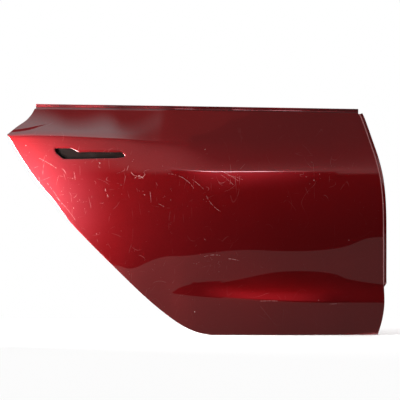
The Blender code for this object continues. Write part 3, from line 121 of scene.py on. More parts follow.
# One material while its nodes are laid out.
class Finish:
    def __init__(self, name):
        self.material = bpy.data.materials.new(name)
        self.material.use_nodes = True
        self.tree = self.material.node_tree
        self.shader = self.tree.nodes["Principled BSDF"]
        self.output = self.tree.nodes["Material Output"]
        self.place = self.add("ShaderNodeTexCoord", output="Object")

    def add(self, kind, settings=None, values=None, output=0):
        node = self.tree.nodes.new(kind)
        for key, value in (settings or {}).items():
            if key == "stops":
                ramp = node.color_ramp
                while len(ramp.elements) < len(value):
                    ramp.elements.new(0.5)
                for element, (position, colour) in zip(ramp.elements, value):
                    element.position = position
                    element.color = (*colour, 1.0)
            else:
                setattr(node, key, value)
        for key, value in (values or {}).items():
            plug(self.tree, node.inputs[key], value)
        return Wire(self.tree, node.outputs[output])

    def noise(self, scale, detail=2.0, rough=0.5, place=None, seed=0.0):
        at = place or self.place
        if seed:
            shift = (seed, seed * 1.7, seed * 0.6)
            at = self.add("ShaderNodeVectorMath", {"operation": "ADD"}, {0: at, 1: shift})
        return self.add(
            "ShaderNodeTexNoise", values={"Vector": at, "Scale": scale, "Detail": detail, "Roughness": rough}
        )

    def turned(self, angle, stretch):
        return self.add("ShaderNodeMapping", values={
            "Vector": self.place, "Rotation": (0.0, math.radians(angle), 0.0), "Scale": stretch,
        })

    def cells(self, scale, output, **settings):
        values = {"Vector": self.place, "Scale": scale, **settings}
        return self.add("ShaderNodeTexVoronoi", values=values, output=output)

    def axis(self, index):
        return self.add("ShaderNodeSeparateXYZ", values={0: self.place}, output=index)

    def distance(self, first, second):
        return self.add("ShaderNodeVectorMath", {"operation": "DISTANCE"}, {0: first, 1: second}, "Value")

    def blend(self, share, first, second):
        return self.add("ShaderNodeMix", {"data_type": "RGBA"}, {0: share, 6: first, 7: second}, 2)

    def bump(self, height, strength, distance):
        values = {"Height": height, "Strength": strength, "Distance": distance}
        return self.add("ShaderNodeBump", values=values, output="Normal")

    def set(self, **values):
        for key, value in values.items():
            plug(self.tree, self.shader.inputs[key.replace("_", " ")], value)


# Shape of the outer skin, the same numbers as the frame.
skinShape = {
    "length": 1.136, "height": 0.693, "hingeAt": (1.084, 0.079, 0.455),
    "upperRear": ((0.07, 0.9801), (0.0615, 0.9541), (0.0481, 0.929), (0.0246, 0.9013), (0.0, 0.8667)),
    "lowerRear": (
        (0.0, 0.8667), (0.028, 0.7884), (0.0615, 0.7058), (0.0919, 0.6396), (0.1223, 0.5842),
        (0.1584, 0.5041), (0.2105, 0.4128), (0.2844, 0.2917), (0.3734, 0.1519), (0.4402, 0.0636),
        (0.4808, 0.0242), (0.5104, 0.0074), (0.5405, 0.0),
    ),
    "front": (
        (0.9783, 0.0), (0.9894, 0.0666), (0.9945, 0.1337), (0.9929, 0.2367), (0.9921, 0.4098),
        (0.9905, 0.5612), (0.9842, 0.6694), (0.9723, 0.7559), (0.9551, 0.8425), (0.9393, 0.9182),
        (0.9335, 0.9429), (0.9298, 0.9546),
    ),
    "flangeTop": ((0.085, 1.0), (0.9224, 0.9762)),
    "wideLine": ((0.0, 0.49), (0.35, 0.53), (0.6, 0.57), (1.0, 0.62)),
    "barrelBelow": 3.29, "barrelAbove": 4.329, "bow": 5.7218, "bowCentre": 0.62,
    "haunchLine": (
        (0.0, 0.8667), (0.0819, 0.8685), (0.1727, 0.8659), (0.267, 0.8572), (0.3512, 0.852),
        (0.4523, 0.8464), (0.7, 0.836), (1.0, 0.8225),
    ),
    "haunchSlope": (
        (0.0, 0.95), (0.15, 0.86), (0.3, 0.62), (0.45, 0.34), (0.6, 0.17), (0.8, 0.08), (1.0, 0.04),
    ),
    "haunchBend": 0.06,
    "haunchBends": ((0.0, 0.07), (0.3, 0.13), (0.45, 0.33), (0.6, 0.7), (1.0, 1.0)),
    "midLine": ((0.0, 0.7), (0.5, 0.7065), (1.0, 0.7065)),
    "midSlope": ((0.0, 0.0), (0.25, 0.01), (0.4, 0.06), (0.58, 0.15), (1.0, 0.15)),
    "midBend": 0.012,
    "turnLine": ((0.0, 0.361), (1.0, 0.361)),
    "hollowLine": (
        (0.435, 0.195), (0.482, 0.211), (0.614, 0.237), (0.7, 0.256), (0.8, 0.26), (0.87, 0.255),
        (0.9366, 0.241), (0.992, 0.232),
    ),
    "sillLine": (
        (0.3, 0.205), (0.435, 0.1848), (0.5088, 0.1675), (0.633, 0.1545), (0.773, 0.1415), (0.992, 0.135),
    ),
    "hollowFade": ((0.0, 0.0), (0.298, 0.0), (0.435, 0.46), (0.673, 1.0), (1.0, 1.0)),
    "turnSlope": 0.2, "hollowSlope": -0.45, "sillSlope": 0.33,
    "turnBend": 0.06, "hollowBend": 0.045, "sillBend": 0.006,
    "hemRadius": 0.0021, "hemReturn": 0.0072, "hemSteps": 8, "border": 0.0045, "borderRings": 6,
    "stripWidth": 0.0085, "stripDrop": 0.0065, "stripBend": 0.0015, "stripLow": 0.143, "stripTaper": 0.012,
    # steps of this and the belt's profile: shares of the bend outwards and inboard, and of the whole drop
    "stripProfile": ((0.05, 0.35, 0.0), (0.3, 1.1, 0.0), (0.5, -0.8, 1.0), (1.0, -0.15, 1.0)),
    # strength of the painted highlight on the bend at the front step
    "stripHighlight": 0.8,
    # hem return left at a sharp corner, and how far from it the return is whole again
    "sharpShare": 0.12, "sharpReach": 0.022,
    "beltLedge": 0.005, "beltBend": 0.002,
    "beltProfile": (
        (0.35, 0.07, 0.0), (0.7, 0.3, 0.0), (0.93, 0.65, 0.0), (1.0, 1.0, 0.0),
        (1.02, -0.6, 1.0), (1.2, -0.15, 1.0), (1.7, 0.0, 1.0),
    ),
    "bead": ((0.4, 0.0), (0.46, -0.0006), (0.54, -0.0008), (0.62, -0.0006), (0.68, 0.0), (1.0, 0.0)),
    "sheet": 0.001, "smoothAngle": 34,
    "rowCounts": (34, 36, 54, 34, 28), "rowEase": 0.55, "columns": 176, "runStep": 0.002, "endBlend": 14,
    "probe": 0.0005, "mitre": 0.3,
}


# Smooth value through a table, its slopes taken from the neighbours.
def trace(table, share):
    if share <= table[0][0]:
        return table[0][1]
    for index in range(len(table) - 1):
        if share <= table[index + 1][0]:
            break
    else:
        return table[-1][1]

    def slope(i):
        low, high = max(i - 1, 0), min(i + 1, len(table) - 1)
        return (table[high][1] - table[low][1]) / (table[high][0] - table[low][0])

    start, end = table[index], table[index + 1]
    width = end[0] - start[0]
    part = (share - start[0]) / width
    square, cube = part * part, part * part * part
    return (
        start[1] * (2 * cube - 3 * square + 1) + slope(index) * width * (cube - 2 * square + part)
        + end[1] * (3 * square - 2 * cube) + slope(index + 1) * width * (cube - square)
    )


def fade(table, share):
    if share <= table[0][0]:
        return table[0][1]
    for low, high in zip(table, table[1:]):
        if share <= high[0]:
            part = (share - low[0]) / (high[0] - low[0])
            return low[1] + (high[1] - low[1]) * part * part * (3 - 2 * part)
    return table[-1][1]


def ramp(distance, bend):
    return (distance + math.sqrt(distance * distance + bend * bend)) / 2


def lineHeight(name, along):
    return trace(skinShape[name], along / skinShape["length"]) * skinShape["height"]


def straightHeight(first, last, along):
    part = (along / skinShape["length"] - first[0]) / (last[0] - first[0])
    return (first[1] + (last[1] - first[1]) * part) * skinShape["height"]


def beltHeight(along):
    return straightHeight(skinShape["upperRear"][0], skinShape["front"][-1], along)


def flangeTopHeight(along):
    return straightHeight(*skinShape["flangeTop"], along)


def skinDepth(along, height):
    s = skinShape
    share = along / s["length"]
    rise = height - lineHeight("wideLine", along)
    radius = (s["barrelBelow"] if rise < 0 else s["barrelAbove"]) * s["height"]
    depth = rise * rise / (2 * radius)
    depth += (along - s["bowCentre"] * s["length"]) ** 2 / (2 * s["bow"] * s["length"])
    bend = s["haunchBend"] * fade(s["haunchBends"], share)
    depth += fade(s["haunchSlope"], share) * ramp(height - lineHeight("haunchLine", along), bend)
    depth += fade(s["midSlope"], share) * ramp(height - lineHeight("midLine", along), s["midBend"])
    fading = fade(s["hollowFade"], share)
    if fading:
        hollow = s["turnSlope"] * ramp(lineHeight("turnLine", along) - height, s["turnBend"])
        hollow += s["hollowSlope"] * ramp(lineHeight("hollowLine", along) - height, s["hollowBend"])
        hollow += s["sillSlope"] * ramp(lineHeight("sillLine", along) - height, s["sillBend"])
        depth += fading * hollow
    return depth


def inwardNormal(along, height):
    probe = skinShape["probe"]
    across = skinDepth(along + probe, height) - skinDepth(along - probe, height)
    upward = skinDepth(along, height + probe) - skinDepth(along, height - probe)
    return Vector((-across / (2 * probe), 1.0, -upward / (2 * probe))).normalized()


def onSkin(along, height, offset=0.0):
    point = Vector((along, skinDepth(along, height), height))
    if offset:
        point += inwardNormal(along, height) * offset
    return point


# Dense run along an outline table, in metres.
def smoothRun(table):
    corners = [Vector((x * skinShape["length"], z * skinShape["height"])) for x, z in table]
    along = [0.0]
    for before, after in zip(corners, corners[1:]):
        along.append(along[-1] + (after - before).length)
    across = list(zip(along, (corner.x for corner in corners)))
    upward = list(zip(along, (corner.y for corner in corners)))
    count = max(1, round(along[-1] / skinShape["runStep"]))
    reaches = [along[-1] * i / count for i in range(count + 1)]
    return [Vector((trace(across, reach), trace(upward, reach))) for reach in reaches]


# Way out at a corner between two stretches that have the inside on their left.
def mitreWay(before, after, least):
    before, after = before.normalized(), after.normalized()
    first, second = Vector((before.y, -before.x)), Vector((after.y, -after.x))
    middle = (first + second).normalized()
    return middle / max(middle.dot(first), least)


def outwardWays(points):
    ways = []
    for index, point in enumerate(points):
        before = point - points[index - 1] if index else points[1] - point
        after = points[index + 1] - point if index < len(points) - 1 else before
        ways.append(mitreWay(before, after, skinShape["mitre"]))
    return ways


levelNames = ("sillLine", "turnLine", "midLine", "haunchLine")
beltLevel = float(len(levelNames) + 1)
haunchLevel = beltLevel - 1


# Heights of the feature lines at one place along the door, from the lower edge to the belt.
def levelHeights(along):
    return [skinShape["border"], *(lineHeight(name, along) for name in levelNames), beltHeight(along)]


def levelAt(along, height):
    heights = levelHeights(along)
    index = 0
    while index < haunchLevel and height > heights[index + 1]:
        index += 1
    return index + (height - heights[index]) / (heights[index + 1] - heights[index])


def heightAt(along, level):
    heights = levelHeights(along)
    index = int(min(level, haunchLevel))
    return heights[index] + (heights[index + 1] - heights[index]) * (level - index)


# Rows are closer together beside the creases.
def rowLevels():
    levels = []
    for index, count in enumerate(skinShape["rowCounts"]):
        for step in range(count):
            part = step / count
            wave = 0.5 - 0.5 * math.cos(math.pi * part)
            levels.append(index + part + (wave - part) * skinShape["rowEase"])
    levels.append(beltLevel)
    return levels


# Edge place, way out and inset place where each row ends, along an outline that runs up the door.
def rowEnds(points, ways, levels, tip=None):
    insets = [point - way * skinShape["border"] for point, way in zip(points, ways)]
    found = [levelAt(inset.x, inset.y) for inset in insets]
    found[0], found[-1] = 0.0, beltLevel
    fixed = {0.0: 0, beltLevel: len(points) - 1}
    if tip is not None:
        found[tip] = haunchLevel
        fixed[haunchLevel] = tip
        for index in range(1, len(found)):
            found[index] = max(found[index], found[index - 1] + 1e-6)
    ends = []
    index = 0
    for level in levels:
        if level in fixed:
            index = fixed[level]
            ends.append((points[index], ways[index], insets[index]))
            continue
        while index < len(found) - 2 and found[index + 1] < level:
            index += 1
        gap = found[index + 1] - found[index]
        part = min(max((level - found[index]) / gap if abs(gap) > 1e-9 else 0.0, 0.0), 1.0)
        ends.append(tuple(row[index].lerp(row[index + 1], part) for row in (points, ways, insets)))
    return ends


# Row ends at the rear edge, whose tip keeps the haunch line, and at the front edge.
def skinEnds(levels):
    border = skinShape["border"]
    upper = smoothRun(skinShape["upperRear"])
    outline = upper[:-1] + smoothRun(skinShape["lowerRear"])
    rear = rowEnds(outline[::-1], outwardWays(outline)[::-1], levels, len(outline) - len(upper))
    outline = smoothRun(skinShape["front"])
    front = rowEnds(outline, outwardWays(outline), levels)
    belt = (front[-1][0] - rear[-1][0]).normalized()
    for ends, way in ((rear, -belt), (front, belt)):
        place = ends[-1][0]
        ends[-1] = (place, way, place - way * border)
    corner, foot = front[0][0], rear[0][0]
    front[0] = (corner, Vector((front[0][1].x, -1.0)), Vector((corner.x - border, border)))
    rear[0] = (foot, Vector((0.0, -1.0)), Vector((foot.x, border)))
    return rear, front


# Points across the edge at one place: border, hem and its return, or the front step and its hem.
def drawEdge(place, way, stripShare, reach):
    s = skinShape
    normal = inwardNormal(place.x, place.y)
    out = Vector((way.x, 0.0, way.y))
    out -= normal * out.dot(normal)
    out = out.normalized() * way.length
    radius, border, bend, drop = s["hemRadius"], s["border"], s["stripBend"], s["stripDrop"]

    def inward(distance):
        return onSkin(*(place - way * distance))

    def finishHem(start):
        ring = [start]
        for step in range(1, s["hemSteps"] + 1):
            turn = math.pi * step / s["hemSteps"]
            ring.append(start + out * radius * math.sin(turn) + normal * radius * (1 - math.cos(turn)))
        for part in (0.5, 1.0):
            ring.append(start - out * s["hemReturn"] * part * reach + normal * radius * 2)
        return ring

    rings = s["borderRings"]
    plain = [inward(radius + (border - radius) * (rings - k) / (rings + 1)) for k in range(rings)]
    plain += finishHem(inward(radius))
    if stripShare <= 0.0:
        return plain
    edge = onSkin(*place)
    depth = Vector((0.0, 1.0, 0.0))
    stepped = [inward(bend), inward(bend * 0.4)]
    stepped += [
        edge + out * bend * outward + depth * (bend * inboard + drop * lowered)
        for outward, inboard, lowered in s["stripProfile"]
    ]
    stepped += finishHem(edge + out * (s["stripWidth"] - radius) + depth * drop)
    return [first.lerp(second, stripShare) for first, second in zip(plain, stepped)]


handleShape = {
    "width": 0.211, "height": 0.0315, "left": 0.1265, "top": 0.8055,
    "corners": (
        (0.0, 0.12), (0.012, 0.0), (0.236, 0.0), (0.285, 0.16), (0.335, 0.36), (0.955, 0.37), (1.0, 0.66),
        (0.988, 0.84), (0.87, 0.925), (0.36, 1.0), (0.127, 1.0), (0.082, 0.79), (0.02, 0.42),
    ),
    "cornerReach": 0.0035, "cornerShare": 0.42, "cornerSteps": 4, "step": 0.006, "mitre": 0.5, "clear": 0.0165,
    "lip": 0.0016, "lipSteps": 5, "flange": 0.005, "draft": 0.0006,
    # rings behind the lip, as shares of draft and flange
    "flangeRings": ((0.5, 0.65), (1.0, 1.0)),
    # parts of the upper lip that get a painted highlight, as shares of the width
    "worn": ((0.22, 0.36), (0.93, 1.01)), "highlightDrop": 0.0109, "highlightDepth": 0.8,
}


# Outline of the handle opening with eased corners, running anticlockwise.
def handleLoop():
    h = handleShape
    left, top = h["left"] * skinShape["length"], h["top"] * skinShape["height"]
    corners = [Vector((left + x * h["width"], top - z * h["height"])) for x, z in h["corners"]]
    corners.reverse()
    loop = []

    def fillTo(last, point):
        count = int((point - last).length / h["step"])
        loop.extend(last.lerp(point, step / (count + 1)) for step in range(1, count + 1))

    for index, corner in enumerate(corners):
        before, after = corners[index - 1], corners[(index + 1) % len(corners)]
        reachBack = min(h["cornerReach"], (before - corner).length * h["cornerShare"])
        reachOn = min(h["cornerReach"], (after - corner).length * h["cornerShare"])
        start = corner + (before - corner).normalized() * reachBack
        end = corner + (after - corner).normalized() * reachOn
        if loop:
            fillTo(loop[-1], start)
        for step in range(h["cornerSteps"] + 1):
            part = step / h["cornerSteps"]
            loop.append(start.lerp(corner, part).lerp(corner.lerp(end, part), part))
    fillTo(loop[-1], loop[0])
    return loop


def outsetLoop(loop, distance):
    moved = []
    for index, point in enumerate(loop):
        after = loop[(index + 1) % len(loop)] - point
        moved.append(point + mitreWay(point - loop[index - 1], after, handleShape["mitre"]) * distance)
    return moved


def insideLoop(point, loop):
    odd = False
    for index, second in enumerate(loop):
        first = loop[index - 1]
        if (first[1] > point[1]) != (second[1] > point[1]):
            part = (point[1] - first[1]) / (second[1] - first[1])
            if point[0] < first[0] + part * (second[0] - first[0]):
                odd = not odd
    return odd


def joinRings(work, first, second):
    for k in range(len(first) - 1):
        work.faces.new((first[k], first[k + 1], second[k + 1], second[k]))


# Takes the faces inside an outline away and returns the points round the gap, in order.
def clearPatch(work, outline):
    middles = [(face, face.calc_center_median()) for face in work.faces]
    patch = [face for face, middle in middles if insideLoop((middle.x, middle.z), outline)]
    inside = set(patch)
    beside = {}
    for face in patch:
        for edge in face.edges:
            if any(other not in inside for other in edge.link_faces):
                first, second = edge.verts
                beside.setdefault(first, []).append(second)
                beside.setdefault(second, []).append(first)
    bmesh.ops.delete(work, geom=patch, context="FACES_ONLY")
    chain = [next(iter(beside))]
    while True:
        onward = [vert for vert in beside[chain[-1]] if vert not in chain[-2:]]
        if not onward or onward[0] is chain[0]:
            return chain
        chain.append(onward[0])


# Fills the gap with small triangles up to the lip and returns the lip's points.
def fillToLip(work, chain, loop):
    lipTop = outsetLoop(loop, handleShape["lip"])
    spots = [Vector((vert.co.x, vert.co.z)) for vert in chain]
    start, count = len(spots), len(lipTop)
    points = spots + lipTop + outsetLoop(loop, handleShape["lip"] + handleShape["step"])
    edges = [(i, (i + 1) % start) for i in range(start)]
    edges += [(start + i, start + (i + 1) % count) for i in range(count)]
    found, _, faces, origins, _, _ = delaunay_2d_cdt(points, edges, [], 0, 1e-6)
    verts = []
    lipVerts = [None] * count
    for point, origin in zip(found, origins):
        known = [i for i in origin if i < start]
        vert = chain[known[0]] if known else work.verts.new(onSkin(point.x, point.y))
        for i in origin:
            if start <= i < start + count:
                lipVerts[i - start] = vert
        verts.append(vert)
    for face in faces:
        first, second, third = (found[i] for i in face)
        centre = (first + second + third) / 3
        if insideLoop(centre, spots) and not insideLoop(centre, lipTop):
            if abs((second - first).cross(third - first)) > 1e-10:
                work.faces.new([verts[i] for i in face])
    return lipVerts


# Rolls the lip of the handle opening inboard and marks the parts of its upper lip that get a painted highlight.
def rollLip(work, previous, loop, rimHighlightLayer):
    h = handleShape
    lip, flange, draft = h["lip"], h["flange"], h["draft"]
    left, top = h["left"] * skinShape["length"], h["top"] * skinShape["height"]
    turns = [math.pi / 2 * k / h["lipSteps"] for k in range(1, h["lipSteps"] + 1)]
    rings = [(lip * (1 - math.sin(turn)), lip * (1 - math.cos(turn))) for turn in turns]
    rings += [(-draft * narrowed, flange * deep) for narrowed, deep in h["flangeRings"]]
    for outset, depth in rings:
        ring = [work.verts.new(onSkin(*point, depth)) for point in outsetLoop(loop, outset)]
        for vert, point in zip(ring, loop):
            share = (point.x - left) / h["width"]
            # these parts of the upper lip get a painted highlight
            worn = any(low < share < high for low, high in h["worn"])
            if worn and depth < lip * h["highlightDepth"] and top - point.y < h["highlightDrop"]:
                vert[rimHighlightLayer] = 1.0
        joinRings(work, previous + previous[:1], ring + ring[:1])
        previous = ring


# Hem down the rear edge, along the lower edge and up the front edge with its step.
def foldEdges(work, grid, levels, rear, front, rimHighlightLayer):
    s = skinShape
    columns = s["columns"] + 1
    stations = []
    for row in range(len(levels) - 1, -1, -1):
        stations.append((grid[row * columns], *rear[row][:2], 0.0))
    for vert in grid[1:columns - 1]:
        stations.append((vert, Vector((vert.co.x, 0.0)), Vector((0.0, -1.0)), 0.0))
    for row in range(len(levels)):
        place, way, _ = front[row]
        share = min(max((place.y - s["stripLow"]) / s["stripTaper"], 0.0), 1.0)
        stations.append((grid[row * columns + columns - 1], place, way, share * share * (3 - 2 * share)))
    sharp = [end[0] for end in (rear[levels.index(haunchLevel)], rear[-1], front[0], front[-1])]
    previous = None
    for vert, place, way, share in stations:
        near = min((place - corner).length for corner in sharp)
        reach = s["sharpShare"] + (1 - s["sharpShare"]) * min(near / s["sharpReach"], 1.0)
        ring = [vert] + [work.verts.new(point) for point in drawEdge(place, way, share, reach)]
        # the bend at the front step gets a painted highlight
        for k in (1, 2, 3):
            ring[k][rimHighlightLayer] = share * s["stripHighlight"]
        if previous:
            for k in range(len(ring) - 1):
                work.faces.new((previous[k], ring[k], ring[k + 1], previous[k + 1]))
        previous = ring


# Belt flange with its pressed bead.
def raiseBelt(work, top):
    bend, ledge = skinShape["beltBend"], skinShape["beltLedge"]
    previous = top
    for rise, inboard, lowered in skinShape["beltProfile"]:
        shift = Vector((0.0, bend * inboard + ledge * lowered, bend * rise))
        ring = [work.verts.new(vert.co + shift) for vert in top]
        joinRings(work, previous, ring)
        previous = ring
    footRise = bend * skinShape["beltProfile"][-1][0]
    for share, proud in skinShape["bead"]:
        ring = []
        for vert in top:
            foot = vert.co.z + footRise
            height = foot + (flangeTopHeight(vert.co.x) - foot) * share
            ring.append(work.verts.new((vert.co.x, vert.co.y + ledge + proud, height)))
        joinRings(work, previous, ring)
        previous = ring


def buildSkin():
    s = skinShape
    levels = rowLevels()
    rear, front = skinEnds(levels)
    places = []
    for level, (_, _, start), (_, _, end) in zip(levels, rear, front):
        startGap = start.y - heightAt(start.x, level)
        endGap = end.y - heightAt(end.x, level)
        for column in range(s["columns"] + 1):
            part = column / s["columns"]
            along = start.x + (end.x - start.x) * part
            height = heightAt(along, level)
            height += startGap * max(0.0, 1 - part * s["endBlend"]) ** 2
            height += endGap * max(0.0, 1 - (1 - part) * s["endBlend"]) ** 2
            places.append((along, height))

    bpy.ops.mesh.primitive_grid_add(x_subdivisions=s["columns"], y_subdivisions=len(levels) - 1, size=1.0)
    skin = bpy.context.object
    skin.name = "doorSkin"
    work = bmesh.new()
    work.from_mesh(skin.data)
    rimHighlightLayer = work.verts.layers.float.new("rim")
    grid = sorted(work.verts, key=lambda vert: (round(vert.co.y, 5), vert.co.x))
    for vert, place in zip(grid, places):
        vert.co = onSkin(*place)

    loop = handleLoop()
    chain = clearPatch(work, outsetLoop(loop, handleShape["clear"]))
    rollLip(work, fillToLip(work, chain, loop), loop, rimHighlightLayer)
    foldEdges(work, grid, levels, rear, front, rimHighlightLayer)
    raiseBelt(work, grid[-(s["columns"] + 1):])

    bmesh.ops.delete(work, geom=[vert for vert in work.verts if not vert.link_faces], context="VERTS")
    bmesh.ops.recalc_face_normals(work, faces=work.faces[:])
    work.normal_update()
    total = sum((face.normal * face.calc_area() for face in work.faces), Vector())
    if total.y > 0:
        bmesh.ops.reverse_faces(work, faces=work.faces[:])
    for vert in work.verts:
        vert.co -= Vector(s["hingeAt"])
    work.to_mesh(skin.data)
    work.free()
    return skin


skin = buildSkin()
print("skin drawn with", len(skin.data.polygons), "faces")

skin.select_set(True)
bpy.context.view_layer.objects.active = skin
bpy.ops.object.shade_smooth()


# Marks in the paint, in metres along the car and up from the upper hinge.
skinMarks = {
    # soft spots of wear: place, height, reach, strength
    "scuffs": (
        (-0.955, 0.03, 0.1, 0.8), (-0.93, -0.06, 0.1, 0.6), (-0.69, 0.025, 0.07, 0.8), (-0.505, 0.0, 0.06, 0.7),
        (-0.41, 0.022, 0.05, 0.9), (-0.17, 0.01, 0.07, 0.8), (-0.84, 0.0, 0.09, 0.5), (-0.6, -0.07, 0.07, 0.5),
        (-0.47, -0.21, 0.06, 0.7), (-0.3, -0.345, 0.06, 0.6), (-0.8, -0.2, 0.1, 0.5), (-0.1, -0.02, 0.1, 0.2),
        (-0.25, 0.08, 0.1, 0.15), (-0.65, -0.25, 0.1, 0.35),
    ),
    # curved scratches: place, height, reach, bend radius, facing in degrees, width
    "arcs": (
        (-0.88, 0.022, 0.012, 0.2, 10, 0.0007), (-0.985, 0.0, 0.018, 0.3, 5, 0.0006),
        (-0.785, -0.03, 0.014, 0.1, 200, 0.0007), (-0.653, -0.042, 0.016, 0.25, 5, 0.0006),
        (-0.557, 0.015, 0.045, 0.09, 60, 0.0006), (-0.512, -0.003, 0.022, 0.25, 50, 0.0006),
        (-0.618, -0.068, 0.012, 0.08, 60, 0.0006), (-0.416, 0.022, 0.03, 0.2, 60, 0.0006),
        (-0.402, 0.018, 0.026, 0.15, 75, 0.0006), (-0.424, 0.01, 0.024, 0.25, 50, 0.0006),
        (-0.47, -0.065, 0.032, 0.1, 222, 0.0006), (-0.7, 0.022, 0.016, 0.02, 250, 0.0008),
        (-0.688, 0.02, 0.014, 0.016, 90, 0.0008), (-0.678, 0.017, 0.012, 0.02, 300, 0.0007),
        (-0.47, -0.215, 0.024, 0.09, 95, 0.0007), (-0.405, -0.228, 0.016, 0.12, 80, 0.0007),
        (-0.3, -0.352, 0.026, 0.9, 90, 0.0008), (-0.105, -0.361, 0.014, 0.9, 90, 0.0007),
        (-0.94, -0.03, 0.04, 0.5, 35, 0.0005), (-0.905, -0.075, 0.045, 0.4, 40, 0.0005),
        (-0.96, 0.06, 0.03, 0.3, 60, 0.0005),
    ),
    # chips: place, height, radius
    "chips": (
        (-1.0265, 0.112, 0.0014), (-0.805, 0.059, 0.0016), (-0.491, 0.1, 0.0014), (-0.522, -0.385, 0.0016),
        (-0.883, -0.075, 0.0012), (-0.815, -0.152, 0.0012), (-0.062, -0.171, 0.0013), (-0.19, 0.018, 0.0012),
        (-0.166, 0.008, 0.0012), (-0.15, 0.026, 0.001), (-0.671, -0.036, 0.0011), (-0.152, -0.35, 0.0013),
    ),
}


# Lays the soft spots of wear onto the points of the skin.
def paintWear(item):
    wear = item.data.attributes.new("wear", "FLOAT", "POINT")
    values = []
    for vert in item.data.vertices:
        total = 0.0
        for x, z, reach, power in skinMarks["scuffs"]:
            gap = ((vert.co.x - x) ** 2 + (vert.co.z - z) ** 2) / (reach * reach)
            if gap < 6:
                total += power * math.exp(-gap)
        values.append(min(total, 1.0))
    wear.data.foreach_set("value", values)


paintWear(skin)
solid = skin.modifiers.new("sheet", "SOLIDIFY")
solid.thickness = skinShape["sheet"]
solid.offset = -1.0
solid.use_even_offset = False
solid.material_offset = 1
solid.material_offset_rim = 0
bpy.ops.object.modifier_apply(modifier=solid.name)
# the folded edges stay inside the box of the solids
for vert in skin.data.vertices:
    vert.co = [min(max(part, low), high) for part, low, high in zip(vert.co, *cadBounds)]
bpy.ops.object.shade_smooth_by_angle(angle=math.radians(skinShape["smoothAngle"]))
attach(skin, "root")
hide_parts("outer_skin")
print("skin thickened to", len(skin.data.polygons), "faces")


paintLook = {
    "deep": (0.205, 0.0047, 0.0065), "bright": (0.275, 0.0088, 0.0125), "scratch": (0.62, 0.4, 0.4),
    # pinker, paler paint round the rear edge: a painted highlight standing for the lit haze of the scratched
    # coat
    "paintedHighlight": (0.46, 0.1, 0.13), "paintedHighlightAt": (-0.99, 0.0, -0.07), "paintedHighlightReach": (0.02, 0.26), "paintedHighlightShare": 0.24,
    "metal": 0.98, "rough": 0.345, "coatRough": 0.02, "coatBend": 1.8, "flakes": 1400.0,
    # darker paint on the belt flange: painted shade
    "flange": (0.09, 0.005, 0.007), "flangeShadeFrom": (0.208, 0.209), "flangeShadeSlope": 0.01812, "flangeShadeShare": 0.92,
    # fine lines: angle, stretch, scale, width, seed
    "hairs": (
        (20, (1.0, 1.0, 1.0), 9.0, 0.0022, 1.3), (62, (1.0, 1.0, 0.35), 13.0, 0.0028, 5.2),
        (-48, (1.0, 1.0, 0.3), 15.0, 0.0028, 9.4),
    ),
    "wornHairs": (8, (0.35, 1.0, 1.0), 24.0, 0.004, 14.8),
    "hairShare": 0.035, "wornHairShare": 0.32, "arcShare": 0.5, "chipShare": 0.9, "rimHighlightShare": 0.55,
}


# Thin wandering lines where smooth noise crosses its middle value.
def hairlines(finish, angle, stretch, scale, width, seed):
    place = finish.turned(angle, stretch)
    field = finish.noise(scale, 0.0, 0.5, place, seed)
    line = 1 - abs(field - 0.5).fadeIn(width * 0.3, width)
    breaks = finish.noise(scale * 2.3, 1.0, seed=seed + 3.1).fadeIn(0.52, 0.66)
    return line * breaks


# One curved scratch, from its middle, reach, bend radius and the way its middle faces.
def arcScratch(finish, flat, x, z, reach, radius, facing, width):
    turn = math.radians(facing)
    far = finish.distance(flat, (x - radius * math.cos(turn), 0.0, z - radius * math.sin(turn)))
    near = finish.distance(flat, (x, 0.0, z))
    return (1 - abs(far - radius).fadeIn(width * 0.4, width)) * (near < reach)


